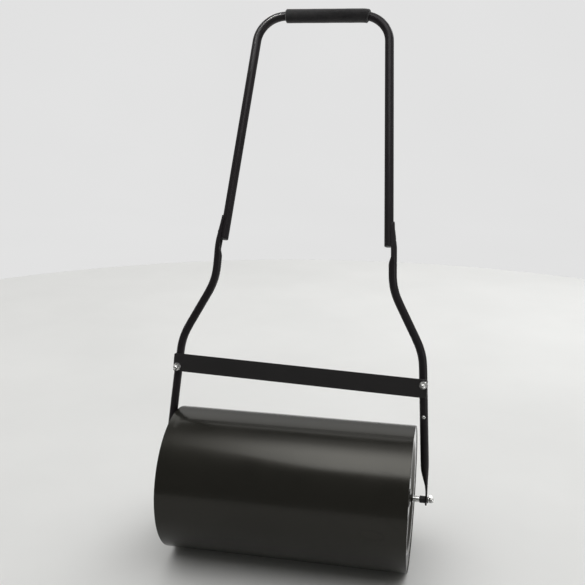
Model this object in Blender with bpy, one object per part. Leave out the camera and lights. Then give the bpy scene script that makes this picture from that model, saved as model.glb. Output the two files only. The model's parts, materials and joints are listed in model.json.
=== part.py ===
"""Garden lawn roller: a fillable steel drum in a tubular push handle.

Units are metres. The origin is on the ground under the middle of the drum, +X runs along
the axle to the right-hand end, +Y points to the back (the way the handle leans), +Z is up.
The lower arms are drawn in the arm frame (origin on the axle, w up the arm), the U-shaped
handle in the handle frame (origin at the joint), and both frames are empties that lean back.
"""

import math

import bmesh
import bpy
from mathutils import Matrix, Vector

MM = 0.001

# Drum
DRUM_LENGTH = 0.500
DRUM_RADIUS = 0.1475
DRUM_FACETS = 96
END_FACETS = 48
SHELL_WALL = 1.5 * MM
SHELL_EDGE = 0.5 * MM
AXLE_Z = DRUM_RADIUS * math.cos(math.pi / DRUM_FACETS)
GAP = 0.3 * MM

# Pressed drum ends: distances inwards from the drum's end plane, and radii
END_SHEET = 1.5 * MM
END_FLANGE_DEPTH = 20.0 * MM
END_RIM_INSET = 1.5 * MM
END_DISH_INSET = 9.5 * MM
END_BOSS_INSET = 5.5 * MM
DISH_TOP_RADIUS = 121.0 * MM
DISH_FOOT_RADIUS = 113.0 * MM
BOSS_FOOT_RADIUS = 45.0 * MM
BOSS_TOP_RADIUS = 39.0 * MM

# Axle line, as distances from the drum's mid plane
AXLE_RADIUS = 6.0 * MM
JOURNAL_RADIUS = 4.0 * MM
HUB_BARREL_RADIUS = 8.0 * MM
HUB_FLANGE_RADIUS = 16.0 * MM
HUB_FLANGE_THICKNESS = 2.2 * MM
HUB_OUTER_X = 0.2520
SHOULDER_X = 0.2650
BUSH_INNER_X = SHOULDER_X + GAP
BUSH_RADIUS = 7.2 * MM
BUSH_BARREL_RADIUS = 5.5 * MM
BUSH_LIP = 0.9 * MM
FOOT_OUTER_X = 0.2802
FOOT_THICKNESS = 3.6 * MM
FOOT_INNER_X = FOOT_OUTER_X - FOOT_THICKNESS

# Filler opening in the left-hand end
FILLER_RADIUS_POS = 70.0 * MM
FILLER_ANGLE = math.radians(50.0)
NECK_OUTER_RADIUS = 17.0 * MM
NECK_BORE_RADIUS = 13.3 * MM
NECK_FLANGE_RADIUS = 19.2 * MM
NECK_FLANGE_THICKNESS = 2.0 * MM
NECK_DEPTH = 8.0 * MM
SEAL_RADIUS = 17.2 * MM
SEAL_THICKNESS = 1.2 * MM
PLUG_RADIUS = 13.0 * MM
PLUG_DEPTH = 9.0 * MM
PLUG_HEAD_RADIUS = 18.6 * MM
PLUG_HEAD_THICKNESS = 2.8 * MM
PLUG_RECESS_RADIUS = 12.5 * MM
PLUG_RECESS_DEPTH = 1.2 * MM
PLUG_BAR_SIZE = (3.0 * MM, 20.0 * MM, 5.0 * MM)

# Tubes and lean of the frame
ARM_TUBE_RADIUS = 8.5 * MM
HANDLE_TUBE_RADIUS = 9.5 * MM
ARM_WALL = 1.45 * MM
HANDLE_WALL = 1.2 * MM
ARM_LEAN = math.radians(14.8)
HANDLE_KINK = math.radians(10.6)

# Arm centreline in the arm frame: (distance from the mid plane, height w up the arm)
ARM_LOW_BEND = (0.2555, 0.2969)
ARM_HIGH_BEND = (0.1875, 0.4226)
ARM_LOW_STRAIGHT = (0.2718, 0.0700)
ARM_HIGH_STRAIGHT = (0.1852, 0.4700)
ARM_BEND_RADIUS = 0.120
ARM_POINTS = 24
FOOT_FLAT_TOP_W = 0.0180
PINCH_STEPS = 8
TIP_ANGLES = (18.0, 35.0, 50.0, 65.0, 80.0)

# Joint between arm and handle
KINK_W = 0.4960
JOINT_ABOVE_KINK = 0.0415
JOINT_Y = JOINT_ABOVE_KINK * math.sin(HANDLE_KINK)
JOINT_W = KINK_W + JOINT_ABOVE_KINK * math.cos(HANDLE_KINK)
JOINT_X = 0.1732
LEG_SLOPE = 0.0661
HANDLE_TOP_S = 0.4790
HANDLE_TOP_X = JOINT_X - LEG_SLOPE * HANDLE_TOP_S
HANDLE_END_S = -0.0260
HANDLE_CORNER_RADIUS = 0.0625
SADDLE_INNER_RADIUS = HANDLE_TUBE_RADIUS + GAP
SADDLE_ANGLE = math.radians(60.0)
SADDLE_LIP = 0.7 * MM
SADDLE_FULL = 6.7 * MM
SADDLE_THIN = 2.4 * MM
SADDLE_TIP_SHARE = 0.65
SADDLE_BLEND_S = -0.0660
SADDLE_START_S = -0.0292
SADDLE_TIP_CENTRE_S = 0.0135
SADDLE_TIP_LENGTH = 10.0 * MM
SADDLE_STEPS = 5
JOINT_SCREWS_S = (-0.0125, 0.0105)
JOINT_SCREW_RADIUS = 2.5 * MM
JOINT_SCREW_TIP = 3.7 * MM
JOINT_HEAD_RADIUS = 4.6 * MM
JOINT_HEAD_DEPTH = 1.8 * MM
JOINT_HEAD_SUNK = 0.4 * MM
INSERT_RADIUS = 4.3 * MM
INSERT_TOP = 8.3 * MM
INSERT_LENGTH = 7.0 * MM

# Grip on the top bar
GRIP_RADIUS = 15.0 * MM
GRIP_LENGTH = 0.180
GRIP_SHIFT = 0.0054

# Flat cross brace and its bolts
BRACE_W = 0.2333
BRACE_BOLT_X = 0.2604
BRACE_LENGTH = 0.5370
BRACE_HEIGHT = 0.0380
BRACE_THICKNESS = 3.0 * MM
BRACE_TILT = math.radians(1.84)
BRACE_RISE = 1.45 * MM
ARM_SCREW_W = 0.1682
ARM_SCREW_RADIUS = 2.0 * MM

# M8 hardware
BOLT_RADIUS = 4.0 * MM
BOLT_HEAD_RADIUS = 8.2 * MM
BOLT_HEAD_HEIGHT = 4.2 * MM
NUT_FLATS = 13.0 * MM
NUT_HEX_HEIGHT = 6.3 * MM
NUT_DOME_RADIUS = 5.7 * MM
NUT_DEPTH = 8.6 * MM
NUT_CHAMFER = 0.7 * MM
THREAD_END_GAP = 1.2 * MM
WASHER_RADIUS = 8.0 * MM
WASHER_THICKNESS = 1.5 * MM


# ---------------------------------------------------------------- scene helpers


def clear_scene():
    for obj in list(bpy.data.objects):
        bpy.data.objects.remove(obj, do_unlink=True)


def material(name, colour, metallic, roughness):
    made = bpy.data.materials.new(name)
    made.use_nodes = True
    shader = made.node_tree.nodes["Principled BSDF"]
    shader.inputs["Base Color"].default_value = (*colour, 1.0)
    shader.inputs["Metallic"].default_value = metallic
    shader.inputs["Roughness"].default_value = roughness
    made.diffuse_color = (*colour, 1.0)
    return made


def empty(name, location, lean, parent=None):
    made = bpy.data.objects.new(name, None)
    made.location = location
    made.rotation_euler = (-lean, 0.0, 0.0)
    made.parent = parent
    bpy.context.scene.collection.objects.link(made)
    return made


def link_mesh(name, points, faces, look=None, parent=None, sharp=35.0):
    mesh = bpy.data.meshes.new(name)
    mesh.from_pydata([tuple(p) for p in points], [], faces)
    work = bmesh.new()
    work.from_mesh(mesh)
    bmesh.ops.recalc_face_normals(work, faces=work.faces)
    work.to_mesh(mesh)
    work.free()
    mesh.shade_smooth()
    mesh.set_sharp_from_angle(angle=math.radians(sharp))
    made = bpy.data.objects.new(name, mesh)
    made.parent = parent
    if look:
        mesh.materials.append(look)
    bpy.context.scene.collection.objects.link(made)
    return made


def cutter(name, points, faces, parent=None):
    made = link_mesh(name, points, faces, parent=parent)
    made.hide_render = True
    made.display_type = "WIRE"
    return made


def cut(target, tool):
    boolean = target.modifiers.new(tool.name, "BOOLEAN")
    boolean.operation = "DIFFERENCE"
    boolean.solver = "EXACT"
    boolean.object = tool


# ---------------------------------------------------------------- shape helpers


def skin(rings, closed_loop=False):
    """Quads between rings of equal count. A ring of one point is a pole. Open stacks get flat caps."""
    points = []
    starts = []
    for ring in rings:
        starts.append(len(points))
        points.extend(ring)
    faces = []
    pairs = list(zip(range(len(rings) - 1), range(1, len(rings))))
    if closed_loop:
        pairs.append((len(rings) - 1, 0))
    for low, high in pairs:
        count = max(len(rings[low]), len(rings[high]))
        for k in range(count):
            after = (k + 1) % count
            if len(rings[low]) == 1:
                faces.append((starts[low], starts[high] + after, starts[high] + k))
            elif len(rings[high]) == 1:
                faces.append((starts[low] + k, starts[low] + after, starts[high]))
            else:
                quad = (starts[low] + k, starts[low] + after, starts[high] + after, starts[high] + k)
                faces.append(quad)
    if not closed_loop:
        for index in (0, -1):
            if len(rings[index]) > 1:
                faces.append(tuple(range(starts[index], starts[index] + len(rings[index]))))
    return points, faces


def lathe_x(profile, segments, closed_loop=False):
    """Turns (x, radius) points about the X axis. A flat facet lies at the bottom."""
    rings = []
    for x, radius in profile:
        if radius == 0.0:
            rings.append([Vector((x, 0.0, 0.0))])
            continue
        ring = []
        for k in range(segments):
            angle = 2.0 * math.pi * (k + 0.5) / segments
            ring.append(Vector((x, radius * math.sin(angle), -radius * math.cos(angle))))
        rings.append(ring)
    return skin(rings, closed_loop)


def moved(shape, matrix):
    points, faces = shape
    return [matrix @ p for p in points], faces


def mirrored(shape, side):
    """The shape as drawn for the right-hand side, or its mirror image for the left."""
    points, faces = shape
    return [Vector((side * p.x, p.y, p.z)) for p in points], faces


def along(origin, direction):
    """Matrix that carries the X axis to a direction from an origin."""
    turn = Vector((1.0, 0.0, 0.0)).rotation_difference(Vector(direction).normalized())
    return Matrix.Translation(origin) @ turn.to_matrix().to_4x4()


def rod(radius, start, end, segments=32):
    return lathe_x([(start, radius), (end, radius)], segments)


def ring_profile(inner, outer, start, end, edge=0.0):
    """Closed (x, radius) loop of a flat ring with a chamfer round the outer edge of its far face."""
    loop = [(start, inner), (end, inner)]
    if edge:
        loop += [(end, outer - edge), (end - edge, outer), (start, outer)]
    else:
        loop += [(end, outer), (start, outer)]
    return loop


def ring_body(inner, outer, start, end, edge=0.0, segments=24):
    return lathe_x(ring_profile(inner, outer, start, end, edge), segments, closed_loop=True)


def plain_washer():
    return ring_body(BOLT_RADIUS + GAP, WASHER_RADIUS, 0.0, WASHER_THICKNESS, 0.3 * MM)


def drained(work):
    """The points and faces of a bmesh, which is freed."""
    points = [v.co.copy() for v in work.verts]
    faces = [tuple(v.index for v in f.verts) for f in work.faces]
    work.free()
    return points, faces


def hex_radius(angle, flats):
    sector = math.pi / 3.0
    return flats / 2.0 / math.cos((angle + sector / 2.0) % sector - sector / 2.0)


def dome_nut():
    """Cap nut along +X from its seat at x = 0, with a blind hole from the seat."""
    segments = 24
    hole = BOLT_RADIUS + GAP
    bevel = NUT_FLATS / 2.0 * 1.02

    def ring(x, radius_of):
        made = []
        for k in range(segments):
            angle = 2.0 * math.pi * k / segments
            radius = radius_of(angle)
            made.append(Vector((x, radius * math.sin(angle), radius * math.cos(angle))))
        return made

    def hexagon(angle):
        return hex_radius(angle, NUT_FLATS)

    def chamfered(angle):
        return min(hexagon(angle), bevel)

    rings = [[Vector((NUT_DEPTH, 0.0, 0.0))], ring(NUT_DEPTH, lambda a: hole), ring(0.0, lambda a: hole)]
    rings += [ring(0.0, chamfered), ring(NUT_CHAMFER, hexagon)]
    rings += [ring(NUT_HEX_HEIGHT - NUT_CHAMFER, hexagon), ring(NUT_HEX_HEIGHT, chamfered)]
    rings += [ring(NUT_HEX_HEIGHT, lambda a: NUT_DOME_RADIUS)]
    for step in range(1, 5):
        turn = math.radians(22.5 * step)
        height = NUT_HEX_HEIGHT + 0.9 * NUT_DOME_RADIUS * math.sin(turn)
        radius = NUT_DOME_RADIUS * math.cos(turn)
        if step == 4:
            rings.append([Vector((height, 0.0, 0.0))])
        else:
            rings.append(ring(height, lambda a, r=radius: r))
    return skin(rings)


def dome_head(radius, height, shank_radius, shank_length, tip=0.6 * MM, segments=24):
    """Round-headed bolt: the head's seat is at x = 0, the head along +X, the shank along -X."""
    profile = [(-shank_length, 0.0), (-shank_length, shank_radius - tip)]
    profile += [(tip - shank_length, shank_radius), (0.0, shank_radius)]
    profile += [(0.0, radius), (0.25 * height, radius)]
    for step in range(1, 4):
        turn = math.radians(30.0 * step)
        x = height * (0.25 + 0.75 * math.sin(turn))
        profile.append((x, 0.0 if step == 3 else radius * math.cos(turn) ** 0.8))
    return lathe_x(profile, segments)


def stadium(half_thickness, half_width, count):
    """Points (u, v) spaced evenly round a stadium: u through its thickness, v across its width."""
    straight = half_width - half_thickness
    arc = math.pi * half_thickness
    lap = 2.0 * straight + arc
    made = []
    for k in range(count):
        run = 2.0 * lap * k / count
        flip = 1.0
        if run > lap:
            run -= lap
            flip = -1.0
        if run <= straight:
            u, v = half_thickness, run
        elif run <= straight + arc:
            turn = (run - straight) / half_thickness
            u, v = half_thickness * math.cos(turn), straight + half_thickness * math.sin(turn)
        else:
            u, v = -half_thickness, lap - run
        made.append((flip * u, flip * v))
    return made


def section(x, w, slope, half_thickness, half_width, count=ARM_POINTS):
    """One cross-section of an arm at (x, w). The tube runs up at the slope dx/dw."""
    lean = math.atan(slope)
    made = []
    for u, v in stadium(half_thickness, half_width, count):
        made.append(Vector((x + u * math.cos(lean), v, w - u * math.sin(lean))))
    return made


def bend_points(before, corner, after, radius, steps):
    """(x, w, heading) along the arc that rounds a corner of a centreline in the X-W plane."""
    enter = (Vector(corner) - Vector(before)).normalized()
    leave = (Vector(after) - Vector(corner)).normalized()
    angle = enter.angle(leave)
    reach = radius * math.tan(angle / 2.0)
    start = Vector(corner) - enter * reach
    side = Vector((-enter.y, enter.x))
    if side.dot(leave) < 0.0:
        side = -side
    centre = start + side * radius
    made = []
    for step in range(steps + 1):
        turn = angle * step / steps
        spot = centre - side * radius * math.cos(turn) + enter * radius * math.sin(turn)
        heading = enter * math.cos(turn) + side * math.sin(turn)
        made.append((spot.x, spot.y, heading))
    return made


# ---------------------------------------------------------------- the drum


def drum_shell(look, pivot):
    half = DRUM_LENGTH / 2.0
    inner = DRUM_RADIUS - SHELL_WALL
    loop = [(-half, inner), (half, inner)]
    loop += [(half, DRUM_RADIUS - SHELL_EDGE), (half - SHELL_EDGE, DRUM_RADIUS)]
    loop += [(SHELL_EDGE - half, DRUM_RADIUS), (-half, DRUM_RADIUS - SHELL_EDGE)]
    link_mesh("drum_shell", *lathe_x(loop, DRUM_FACETS, closed_loop=True), look, pivot)


def end_profile():
    """Closed (x, radius) loop of a pressed end: x is measured outwards from the drum's mid plane."""
    face = DRUM_LENGTH / 2.0
    flange = DRUM_RADIUS - SHELL_WALL - GAP
    outer_side = [
        (face - END_FLANGE_DEPTH, flange),
        (face - END_RIM_INSET - 1.8 * MM, flange),
        (face - END_RIM_INSET, flange - 1.8 * MM),
        (face - END_RIM_INSET, DISH_TOP_RADIUS),
        (face - END_DISH_INSET, DISH_FOOT_RADIUS),
        (face - END_DISH_INSET, BOSS_FOOT_RADIUS),
        (face - END_BOSS_INSET, BOSS_TOP_RADIUS),
        (face - END_BOSS_INSET, AXLE_RADIUS + GAP),
    ]
    inner_side = [(face - END_FLANGE_DEPTH, flange - END_SHEET)]
    inner_side += [(face - END_RIM_INSET - 2.2 * MM, flange - END_SHEET)]
    inner_side += [(x - END_SHEET, radius) for x, radius in outer_side[3:]]
    return outer_side + inner_side[::-1]


def drum_ends(look, pivot):
    ends = []
    for name, side in (("left", -1), ("right", 1)):
        shape = mirrored(lathe_x(end_profile(), END_FACETS, closed_loop=True), side)
        ends.append(link_mesh(f"drum_end_{name}", *shape, look, pivot))
    return ends


def hubs(look, pivot):
    """Flanged collars welded to the ends' bosses, which hold the shaft."""
    seat = DRUM_LENGTH / 2.0 - END_BOSS_INSET + GAP
    flange_top = seat + HUB_FLANGE_THICKNESS
    bore = AXLE_RADIUS + GAP
    edge = 0.6 * MM
    loop = [(seat, bore), (HUB_OUTER_X, bore)]
    loop += [(HUB_OUTER_X, HUB_BARREL_RADIUS - edge), (HUB_OUTER_X - edge, HUB_BARREL_RADIUS)]
    loop += [(flange_top, HUB_BARREL_RADIUS), (flange_top, HUB_FLANGE_RADIUS - edge)]
    loop += [(flange_top - edge, HUB_FLANGE_RADIUS), (seat, HUB_FLANGE_RADIUS)]
    for name, side in (("left", -1), ("right", 1)):
        link_mesh(f"hub_{name}", *mirrored(lathe_x(loop, 32, closed_loop=True), side), look, pivot)


def filler_centre():
    across = -FILLER_RADIUS_POS * math.sin(FILLER_ANGLE)
    up = FILLER_RADIUS_POS * math.cos(FILLER_ANGLE)
    return Vector((-(DRUM_LENGTH / 2.0 - END_DISH_INSET), across, up))


def filler_neck(end, look, pivot):
    """Flanged neck in a hole through the end's dished floor, drawn outwards from that floor."""
    place = along(filler_centre(), (-1.0, 0.0, 0.0))
    hole = rod(NECK_OUTER_RADIUS + GAP, -4.0 * END_SHEET, 4.0 * END_SHEET)
    cut(end, cutter("filler_hole", *moved(hole, place), pivot))
    top = GAP + NECK_FLANGE_THICKNESS
    edge = 0.6 * MM
    loop = [(-NECK_DEPTH, NECK_BORE_RADIUS), (top, NECK_BORE_RADIUS), (top, NECK_FLANGE_RADIUS - edge)]
    loop += [(top - edge, NECK_FLANGE_RADIUS), (GAP, NECK_FLANGE_RADIUS)]
    loop += [(GAP, NECK_OUTER_RADIUS), (-NECK_DEPTH, NECK_OUTER_RADIUS)]
    link_mesh("filler_neck", *moved(lathe_x(loop, 32, closed_loop=True), place), look, pivot)


def plug_seal(look, pivot):
    seat = NECK_FLANGE_THICKNESS + 2.0 * GAP
    shape = ring_body(PLUG_RADIUS + GAP, SEAL_RADIUS, seat, seat + SEAL_THICKNESS, segments=32)
    link_mesh("plug_seal", *moved(shape, along(filler_centre(), (-1.0, 0.0, 0.0))), look, pivot)


def filler_plug(look, pivot):
    """Push-in plug with a recessed head and a finger bar across the recess."""
    place = along(filler_centre(), (-1.0, 0.0, 0.0))
    seat = NECK_FLANGE_THICKNESS + SEAL_THICKNESS + 3.0 * GAP
    top = seat + PLUG_HEAD_THICKNESS
    floor = top - PLUG_RECESS_DEPTH
    edge = 0.6 * MM
    taper = 1.5 * MM
    profile = [(seat - PLUG_DEPTH, 0.0), (seat - PLUG_DEPTH, PLUG_RADIUS - taper)]
    profile += [(seat - PLUG_DEPTH + taper, PLUG_RADIUS), (seat, PLUG_RADIUS)]
    profile += [(seat, PLUG_HEAD_RADIUS - edge), (seat + edge, PLUG_HEAD_RADIUS)]
    profile += [(top - edge, PLUG_HEAD_RADIUS), (top, PLUG_HEAD_RADIUS - edge)]
    profile += [(top, PLUG_RECESS_RADIUS), (floor, PLUG_RECESS_RADIUS - taper), (floor, 0.0)]
    plug = link_mesh("filler_plug", *moved(lathe_x(profile, 32), place), look, pivot)
    bar = bmesh.new()
    bmesh.ops.create_cube(bar, size=1.0)
    bmesh.ops.scale(bar, vec=PLUG_BAR_SIZE, verts=bar.verts)
    bmesh.ops.translate(bar, vec=(top - 0.2 * MM, 0.0, 0.0), verts=bar.verts)
    bmesh.ops.bevel(bar, geom=bar.edges[:], offset=0.7 * MM, segments=2, affect="EDGES", profile=0.5)
    union = plug.modifiers.new("bar", "BOOLEAN")
    union.operation = "UNION"
    union.solver = "EXACT"
    union.object = cutter("plug_bar", *moved(drained(bar), place), pivot)


def axle(look, pivot):
    """The shaft with its two shouldered ends, and the washer and cap nut on each."""
    washer_seat = FOOT_OUTER_X + BUSH_LIP + 2.0 * GAP + 0.3 * MM
    nut_seat = washer_seat + WASHER_THICKNESS + GAP
    tip = nut_seat + NUT_DEPTH - THREAD_END_GAP
    half = [(tip, 0.0), (tip, JOURNAL_RADIUS - 0.8 * MM), (tip - 0.8 * MM, JOURNAL_RADIUS)]
    half += [(SHOULDER_X, JOURNAL_RADIUS), (SHOULDER_X, AXLE_RADIUS - 0.5 * MM)]
    half += [(SHOULDER_X - 0.5 * MM, AXLE_RADIUS)]
    profile = half + [(-x, radius) for x, radius in half[::-1]]
    link_mesh("axle_shaft", *lathe_x(profile, 24), look, pivot)
    for name, side in (("left", -1), ("right", 1)):
        washer = moved(plain_washer(), Matrix.Translation((washer_seat, 0.0, 0.0)))
        link_mesh(f"axle_washer_{name}", *mirrored(washer, side), look, pivot)
        nut = moved(dome_nut(), Matrix.Translation((nut_seat, 0.0, 0.0)))
        link_mesh(f"axle_nut_{name}", *mirrored(nut, side), look, pivot)


# ---------------------------------------------------------------- the arms


def pressed_half_width(half_thickness):
    """Half width of the arm's tube where it is pressed flatter. Its perimeter stays the same."""
    return half_thickness + math.pi / 2.0 * (ARM_TUBE_RADIUS - half_thickness)


def pinch(flat, tube):
    """Cross-sections between a pressed end and the round tube.

    Each end is (outer x, w, slope, half thickness).
    """
    made = []
    for step in range(1, PINCH_STEPS):
        share = step / PINCH_STEPS
        swell = share * share * (3.0 - 2.0 * share)
        outer_x, w, slope = (a + (b - a) * share for a, b in zip(flat[:3], tube[:3]))
        thick = flat[3] + (tube[3] - flat[3]) * swell
        made.append((outer_x - thick, w, slope, thick, pressed_half_width(thick)))
    return made


def rounded_tip(x_at, centre_w, slope, half_thickness, direction):
    """Cross-sections of a pressed end's rounded tip, from its full width towards its point."""
    wide = pressed_half_width(half_thickness)
    made = []
    for degrees in TIP_ANGLES:
        turn = math.radians(degrees)
        w = centre_w + direction * wide * math.sin(turn)
        made.append((x_at(w), w, slope, half_thickness, wide * math.cos(turn)))
    return made


def arm_stations():
    """Cross-sections of the right-hand arm from foot to kink: (x, w, slope, half thickness, half width)."""
    foot_half = FOOT_THICKNESS / 2.0
    foot_x = FOOT_OUTER_X - foot_half
    low_slope = (ARM_LOW_BEND[0] - ARM_LOW_STRAIGHT[0]) / (ARM_LOW_BEND[1] - ARM_LOW_STRAIGHT[1])
    high_slope = (ARM_HIGH_STRAIGHT[0] - ARM_HIGH_BEND[0]) / (ARM_HIGH_STRAIGHT[1] - ARM_HIGH_BEND[1])
    tube = ARM_TUBE_RADIUS

    made = rounded_tip(lambda w: foot_x, 0.0, 0.0, foot_half, -1.0)[::-1]
    for w in (0.0, FOOT_FLAT_TOP_W):
        made.append((foot_x, w, 0.0, foot_half, pressed_half_width(foot_half)))
    foot = (FOOT_OUTER_X, FOOT_FLAT_TOP_W, 0.0, foot_half)
    made += pinch(foot, (ARM_LOW_STRAIGHT[0] + tube, ARM_LOW_STRAIGHT[1], low_slope, tube))
    made.append((*ARM_LOW_STRAIGHT, low_slope, tube, tube))

    low = bend_points(ARM_LOW_STRAIGHT, ARM_LOW_BEND, ARM_HIGH_BEND, ARM_BEND_RADIUS, 5)
    high = bend_points(ARM_LOW_BEND, ARM_HIGH_BEND, ARM_HIGH_STRAIGHT, ARM_BEND_RADIUS, 5)
    for x, w, heading in low + high:
        made.append((x, w, heading.x / heading.y, tube, tube))
    made.append((*ARM_HIGH_STRAIGHT, high_slope, tube, tube))
    return made


def smooth_step(share):
    return share * share * (3.0 - 2.0 * share)


def crescent(thickness, angle):
    """Points (u, v) of a tube dented by the leg: u out from the leg's centreline, v to the back.

    The angle is where the dent's lips lie, measured about the leg.
    """
    inner = SADDLE_INNER_RADIUS
    lip_u = (inner + SADDLE_LIP) * math.cos(angle)
    lip_v = (inner + SADDLE_LIP) * math.sin(angle)
    made = []
    for k in range(ARM_POINTS):
        quarters = 4.0 * min(k, ARM_POINTS - k) / ARM_POINTS
        if quarters <= 1.0:
            turn = math.pi / 2.0 * quarters
            u = lip_u + (inner + thickness - lip_u) * math.cos(turn)
            v = lip_v * math.sin(turn)
        else:
            past = (2.0 - quarters) * angle
            u = inner * math.cos(past)
            v = inner * math.sin(past)
        flip = -1.0 if 2 * k > ARM_POINTS else 1.0
        made.append((u, flip * v))
    return made


def saddle_thickness(s):
    """Thickness of the arm's pressed top outside the leg, thinning from the leg's end to the tip."""
    share = (s - SADDLE_START_S) / (SADDLE_TIP_CENTRE_S - SADDLE_START_S)
    share = min(max(share, 0.0), 1.0)
    return SADDLE_FULL + (SADDLE_THIN - SADDLE_FULL) * share


def saddle_section(s, thickness, angle=SADDLE_ANGLE):
    """Cross-section of the arm's pressed top at s along the leg, in the arm frame."""
    to_arm_frame = Matrix.Translation((0.0, JOINT_Y, JOINT_W)) @ Matrix.Rotation(-HANDLE_KINK, 4, "X")
    made = []
    for u, v in crescent(thickness, angle):
        spot = joint_point(s, 1, u)
        spot.y = v
        made.append(to_arm_frame @ spot)
    return made


def saddle_sections():
    """The arm's top: round tube, then dented by the leg, then thinned, then rounded off."""
    slope = (ARM_HIGH_STRAIGHT[0] - ARM_HIGH_BEND[0]) / (ARM_HIGH_STRAIGHT[1] - ARM_HIGH_BEND[1])
    made = []
    for step in range(SADDLE_STEPS + 1):
        share = step / SADDLE_STEPS
        s = SADDLE_BLEND_S + (SADDLE_START_S - SADDLE_BLEND_S) * share
        w = JOINT_W + s * math.cos(HANDLE_KINK)
        x = ARM_HIGH_STRAIGHT[0] + slope * (w - ARM_HIGH_STRAIGHT[1])
        tube = section(x, w, slope, ARM_TUBE_RADIUS, ARM_TUBE_RADIUS)
        dented = saddle_section(s, SADDLE_FULL)
        made.append([a.lerp(b, smooth_step(share)) for a, b in zip(tube, dented)])
    for step in range(1, SADDLE_STEPS + 1):
        s = SADDLE_START_S + (SADDLE_TIP_CENTRE_S - SADDLE_START_S) * step / SADDLE_STEPS
        made.append(saddle_section(s, saddle_thickness(s)))
    for degrees in TIP_ANGLES:
        turn = math.radians(degrees)
        s = SADDLE_TIP_CENTRE_S + SADDLE_TIP_LENGTH * math.sin(turn)
        thickness = SADDLE_THIN * (SADDLE_TIP_SHARE + (1.0 - SADDLE_TIP_SHARE) * math.cos(turn))
        made.append(saddle_section(s, thickness, SADDLE_ANGLE * math.cos(turn)))
    return made


def arm_shape():
    """Outer skin and hollow core of the right-hand arm. The holes cut later open the core."""
    outer = []
    core = []
    for x, w, slope, thick, broad in arm_stations():
        outer.append(section(x, w, slope, thick, broad))
        if w >= 0.0:
            core.append(section(x, w, slope, thick - ARM_WALL, broad - ARM_WALL, 12))
    return skin(outer + saddle_sections()), skin(core)


def joint_axis(side):
    """Direction out of the saddle's outer face, in the handle frame."""
    return Vector((side, 0.0, LEG_SLOPE)).normalized()


def joint_point(s, side, out):
    """Point on a leg's centreline at s, moved out along the joint's screw axis, in the handle frame."""
    return Vector((side * (JOINT_X - LEG_SLOPE * s), 0.0, s)) + joint_axis(side) * out


def arms(look, arm_frame, handle_frame):
    outer, core = arm_shape()
    for name, side in (("left", -1), ("right", 1)):
        arm = link_mesh(f"arm_{name}", *mirrored(outer, side), look, arm_frame)
        cut(arm, cutter(f"arm_core_{name}", *mirrored(core, side), arm_frame))
        reach = FOOT_THICKNESS
        bush_hole = rod(BUSH_BARREL_RADIUS + GAP, FOOT_INNER_X - reach, FOOT_OUTER_X + reach, 24)
        cut(arm, cutter(f"bush_hole_{name}", *mirrored(bush_hole, side), arm_frame))
        reach = 1.6 * ARM_TUBE_RADIUS
        place = along((side * BRACE_BOLT_X, 0.0, BRACE_W), (0.0, 1.0, 0.0))
        bolt_hole = moved(rod(BOLT_RADIUS + GAP, -reach, reach, 20), place)
        cut(arm, cutter(f"arm_bolt_hole_{name}", *bolt_hole, arm_frame))
        for number, s in enumerate(JOINT_SCREWS_S, 1):
            hole = moved(lathe_x(countersink(s), 16), along(joint_point(s, side, 0.0), joint_axis(side)))
            cut(arm, cutter(f"saddle_hole_{name}_{number}", *hole, handle_frame))
        if name == "right":
            spot = (arm_centre_x(ARM_SCREW_W), -ARM_TUBE_RADIUS, ARM_SCREW_W)
            hole = rod(ARM_SCREW_RADIUS + GAP, -3.0 * MM, 5.0 * MM, 16)
            hole = moved(hole, along(spot, (0.0, 1.0, 0.0)))
            cut(arm, cutter("arm_screw_hole", *hole, arm_frame))


def head_top(s):
    """Height of a joint screw's head above the leg's centreline, just under the arm's outer face."""
    return SADDLE_INNER_RADIUS + saddle_thickness(s) - JOINT_HEAD_SUNK


def countersink(s):
    """(u, radius) profile of a joint screw's hole, u out from the leg's centreline."""
    top = head_top(s)
    narrow = JOINT_SCREW_RADIUS + GAP
    wide = JOINT_HEAD_RADIUS + GAP
    profile = [(HANDLE_TUBE_RADIUS - 2.0 * MM, narrow), (top - JOINT_HEAD_DEPTH - GAP, narrow)]
    return profile + [(top - GAP, wide), (top + 4.0 * MM, wide)]


def arm_centre_x(w):
    """Distance of the arm's centreline from the mid plane, on its lower straight."""
    share = (w - ARM_LOW_STRAIGHT[1]) / (ARM_LOW_BEND[1] - ARM_LOW_STRAIGHT[1])
    return ARM_LOW_STRAIGHT[0] + share * (ARM_LOW_BEND[0] - ARM_LOW_STRAIGHT[0])


def bushes(look, arm_frame):
    """Flanged nylon bushes in the arms' feet, each with a thin lip on the outer side."""
    bore = JOURNAL_RADIUS + GAP
    barrel_end = FOOT_OUTER_X + GAP + BUSH_LIP
    flange_end = FOOT_INNER_X - GAP
    edge = 0.8 * MM
    loop = [(BUSH_INNER_X, bore), (barrel_end, bore), (barrel_end, BUSH_BARREL_RADIUS)]
    loop += [(flange_end, BUSH_BARREL_RADIUS), (flange_end, BUSH_RADIUS)]
    loop += [(BUSH_INNER_X + edge, BUSH_RADIUS), (BUSH_INNER_X, BUSH_RADIUS - edge)]
    for name, side in (("left", -1), ("right", 1)):
        shape = mirrored(lathe_x(loop, 24, closed_loop=True), side)
        link_mesh(f"axle_bush_{name}", *shape, look, arm_frame)


# ---------------------------------------------------------------- the handle


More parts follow.
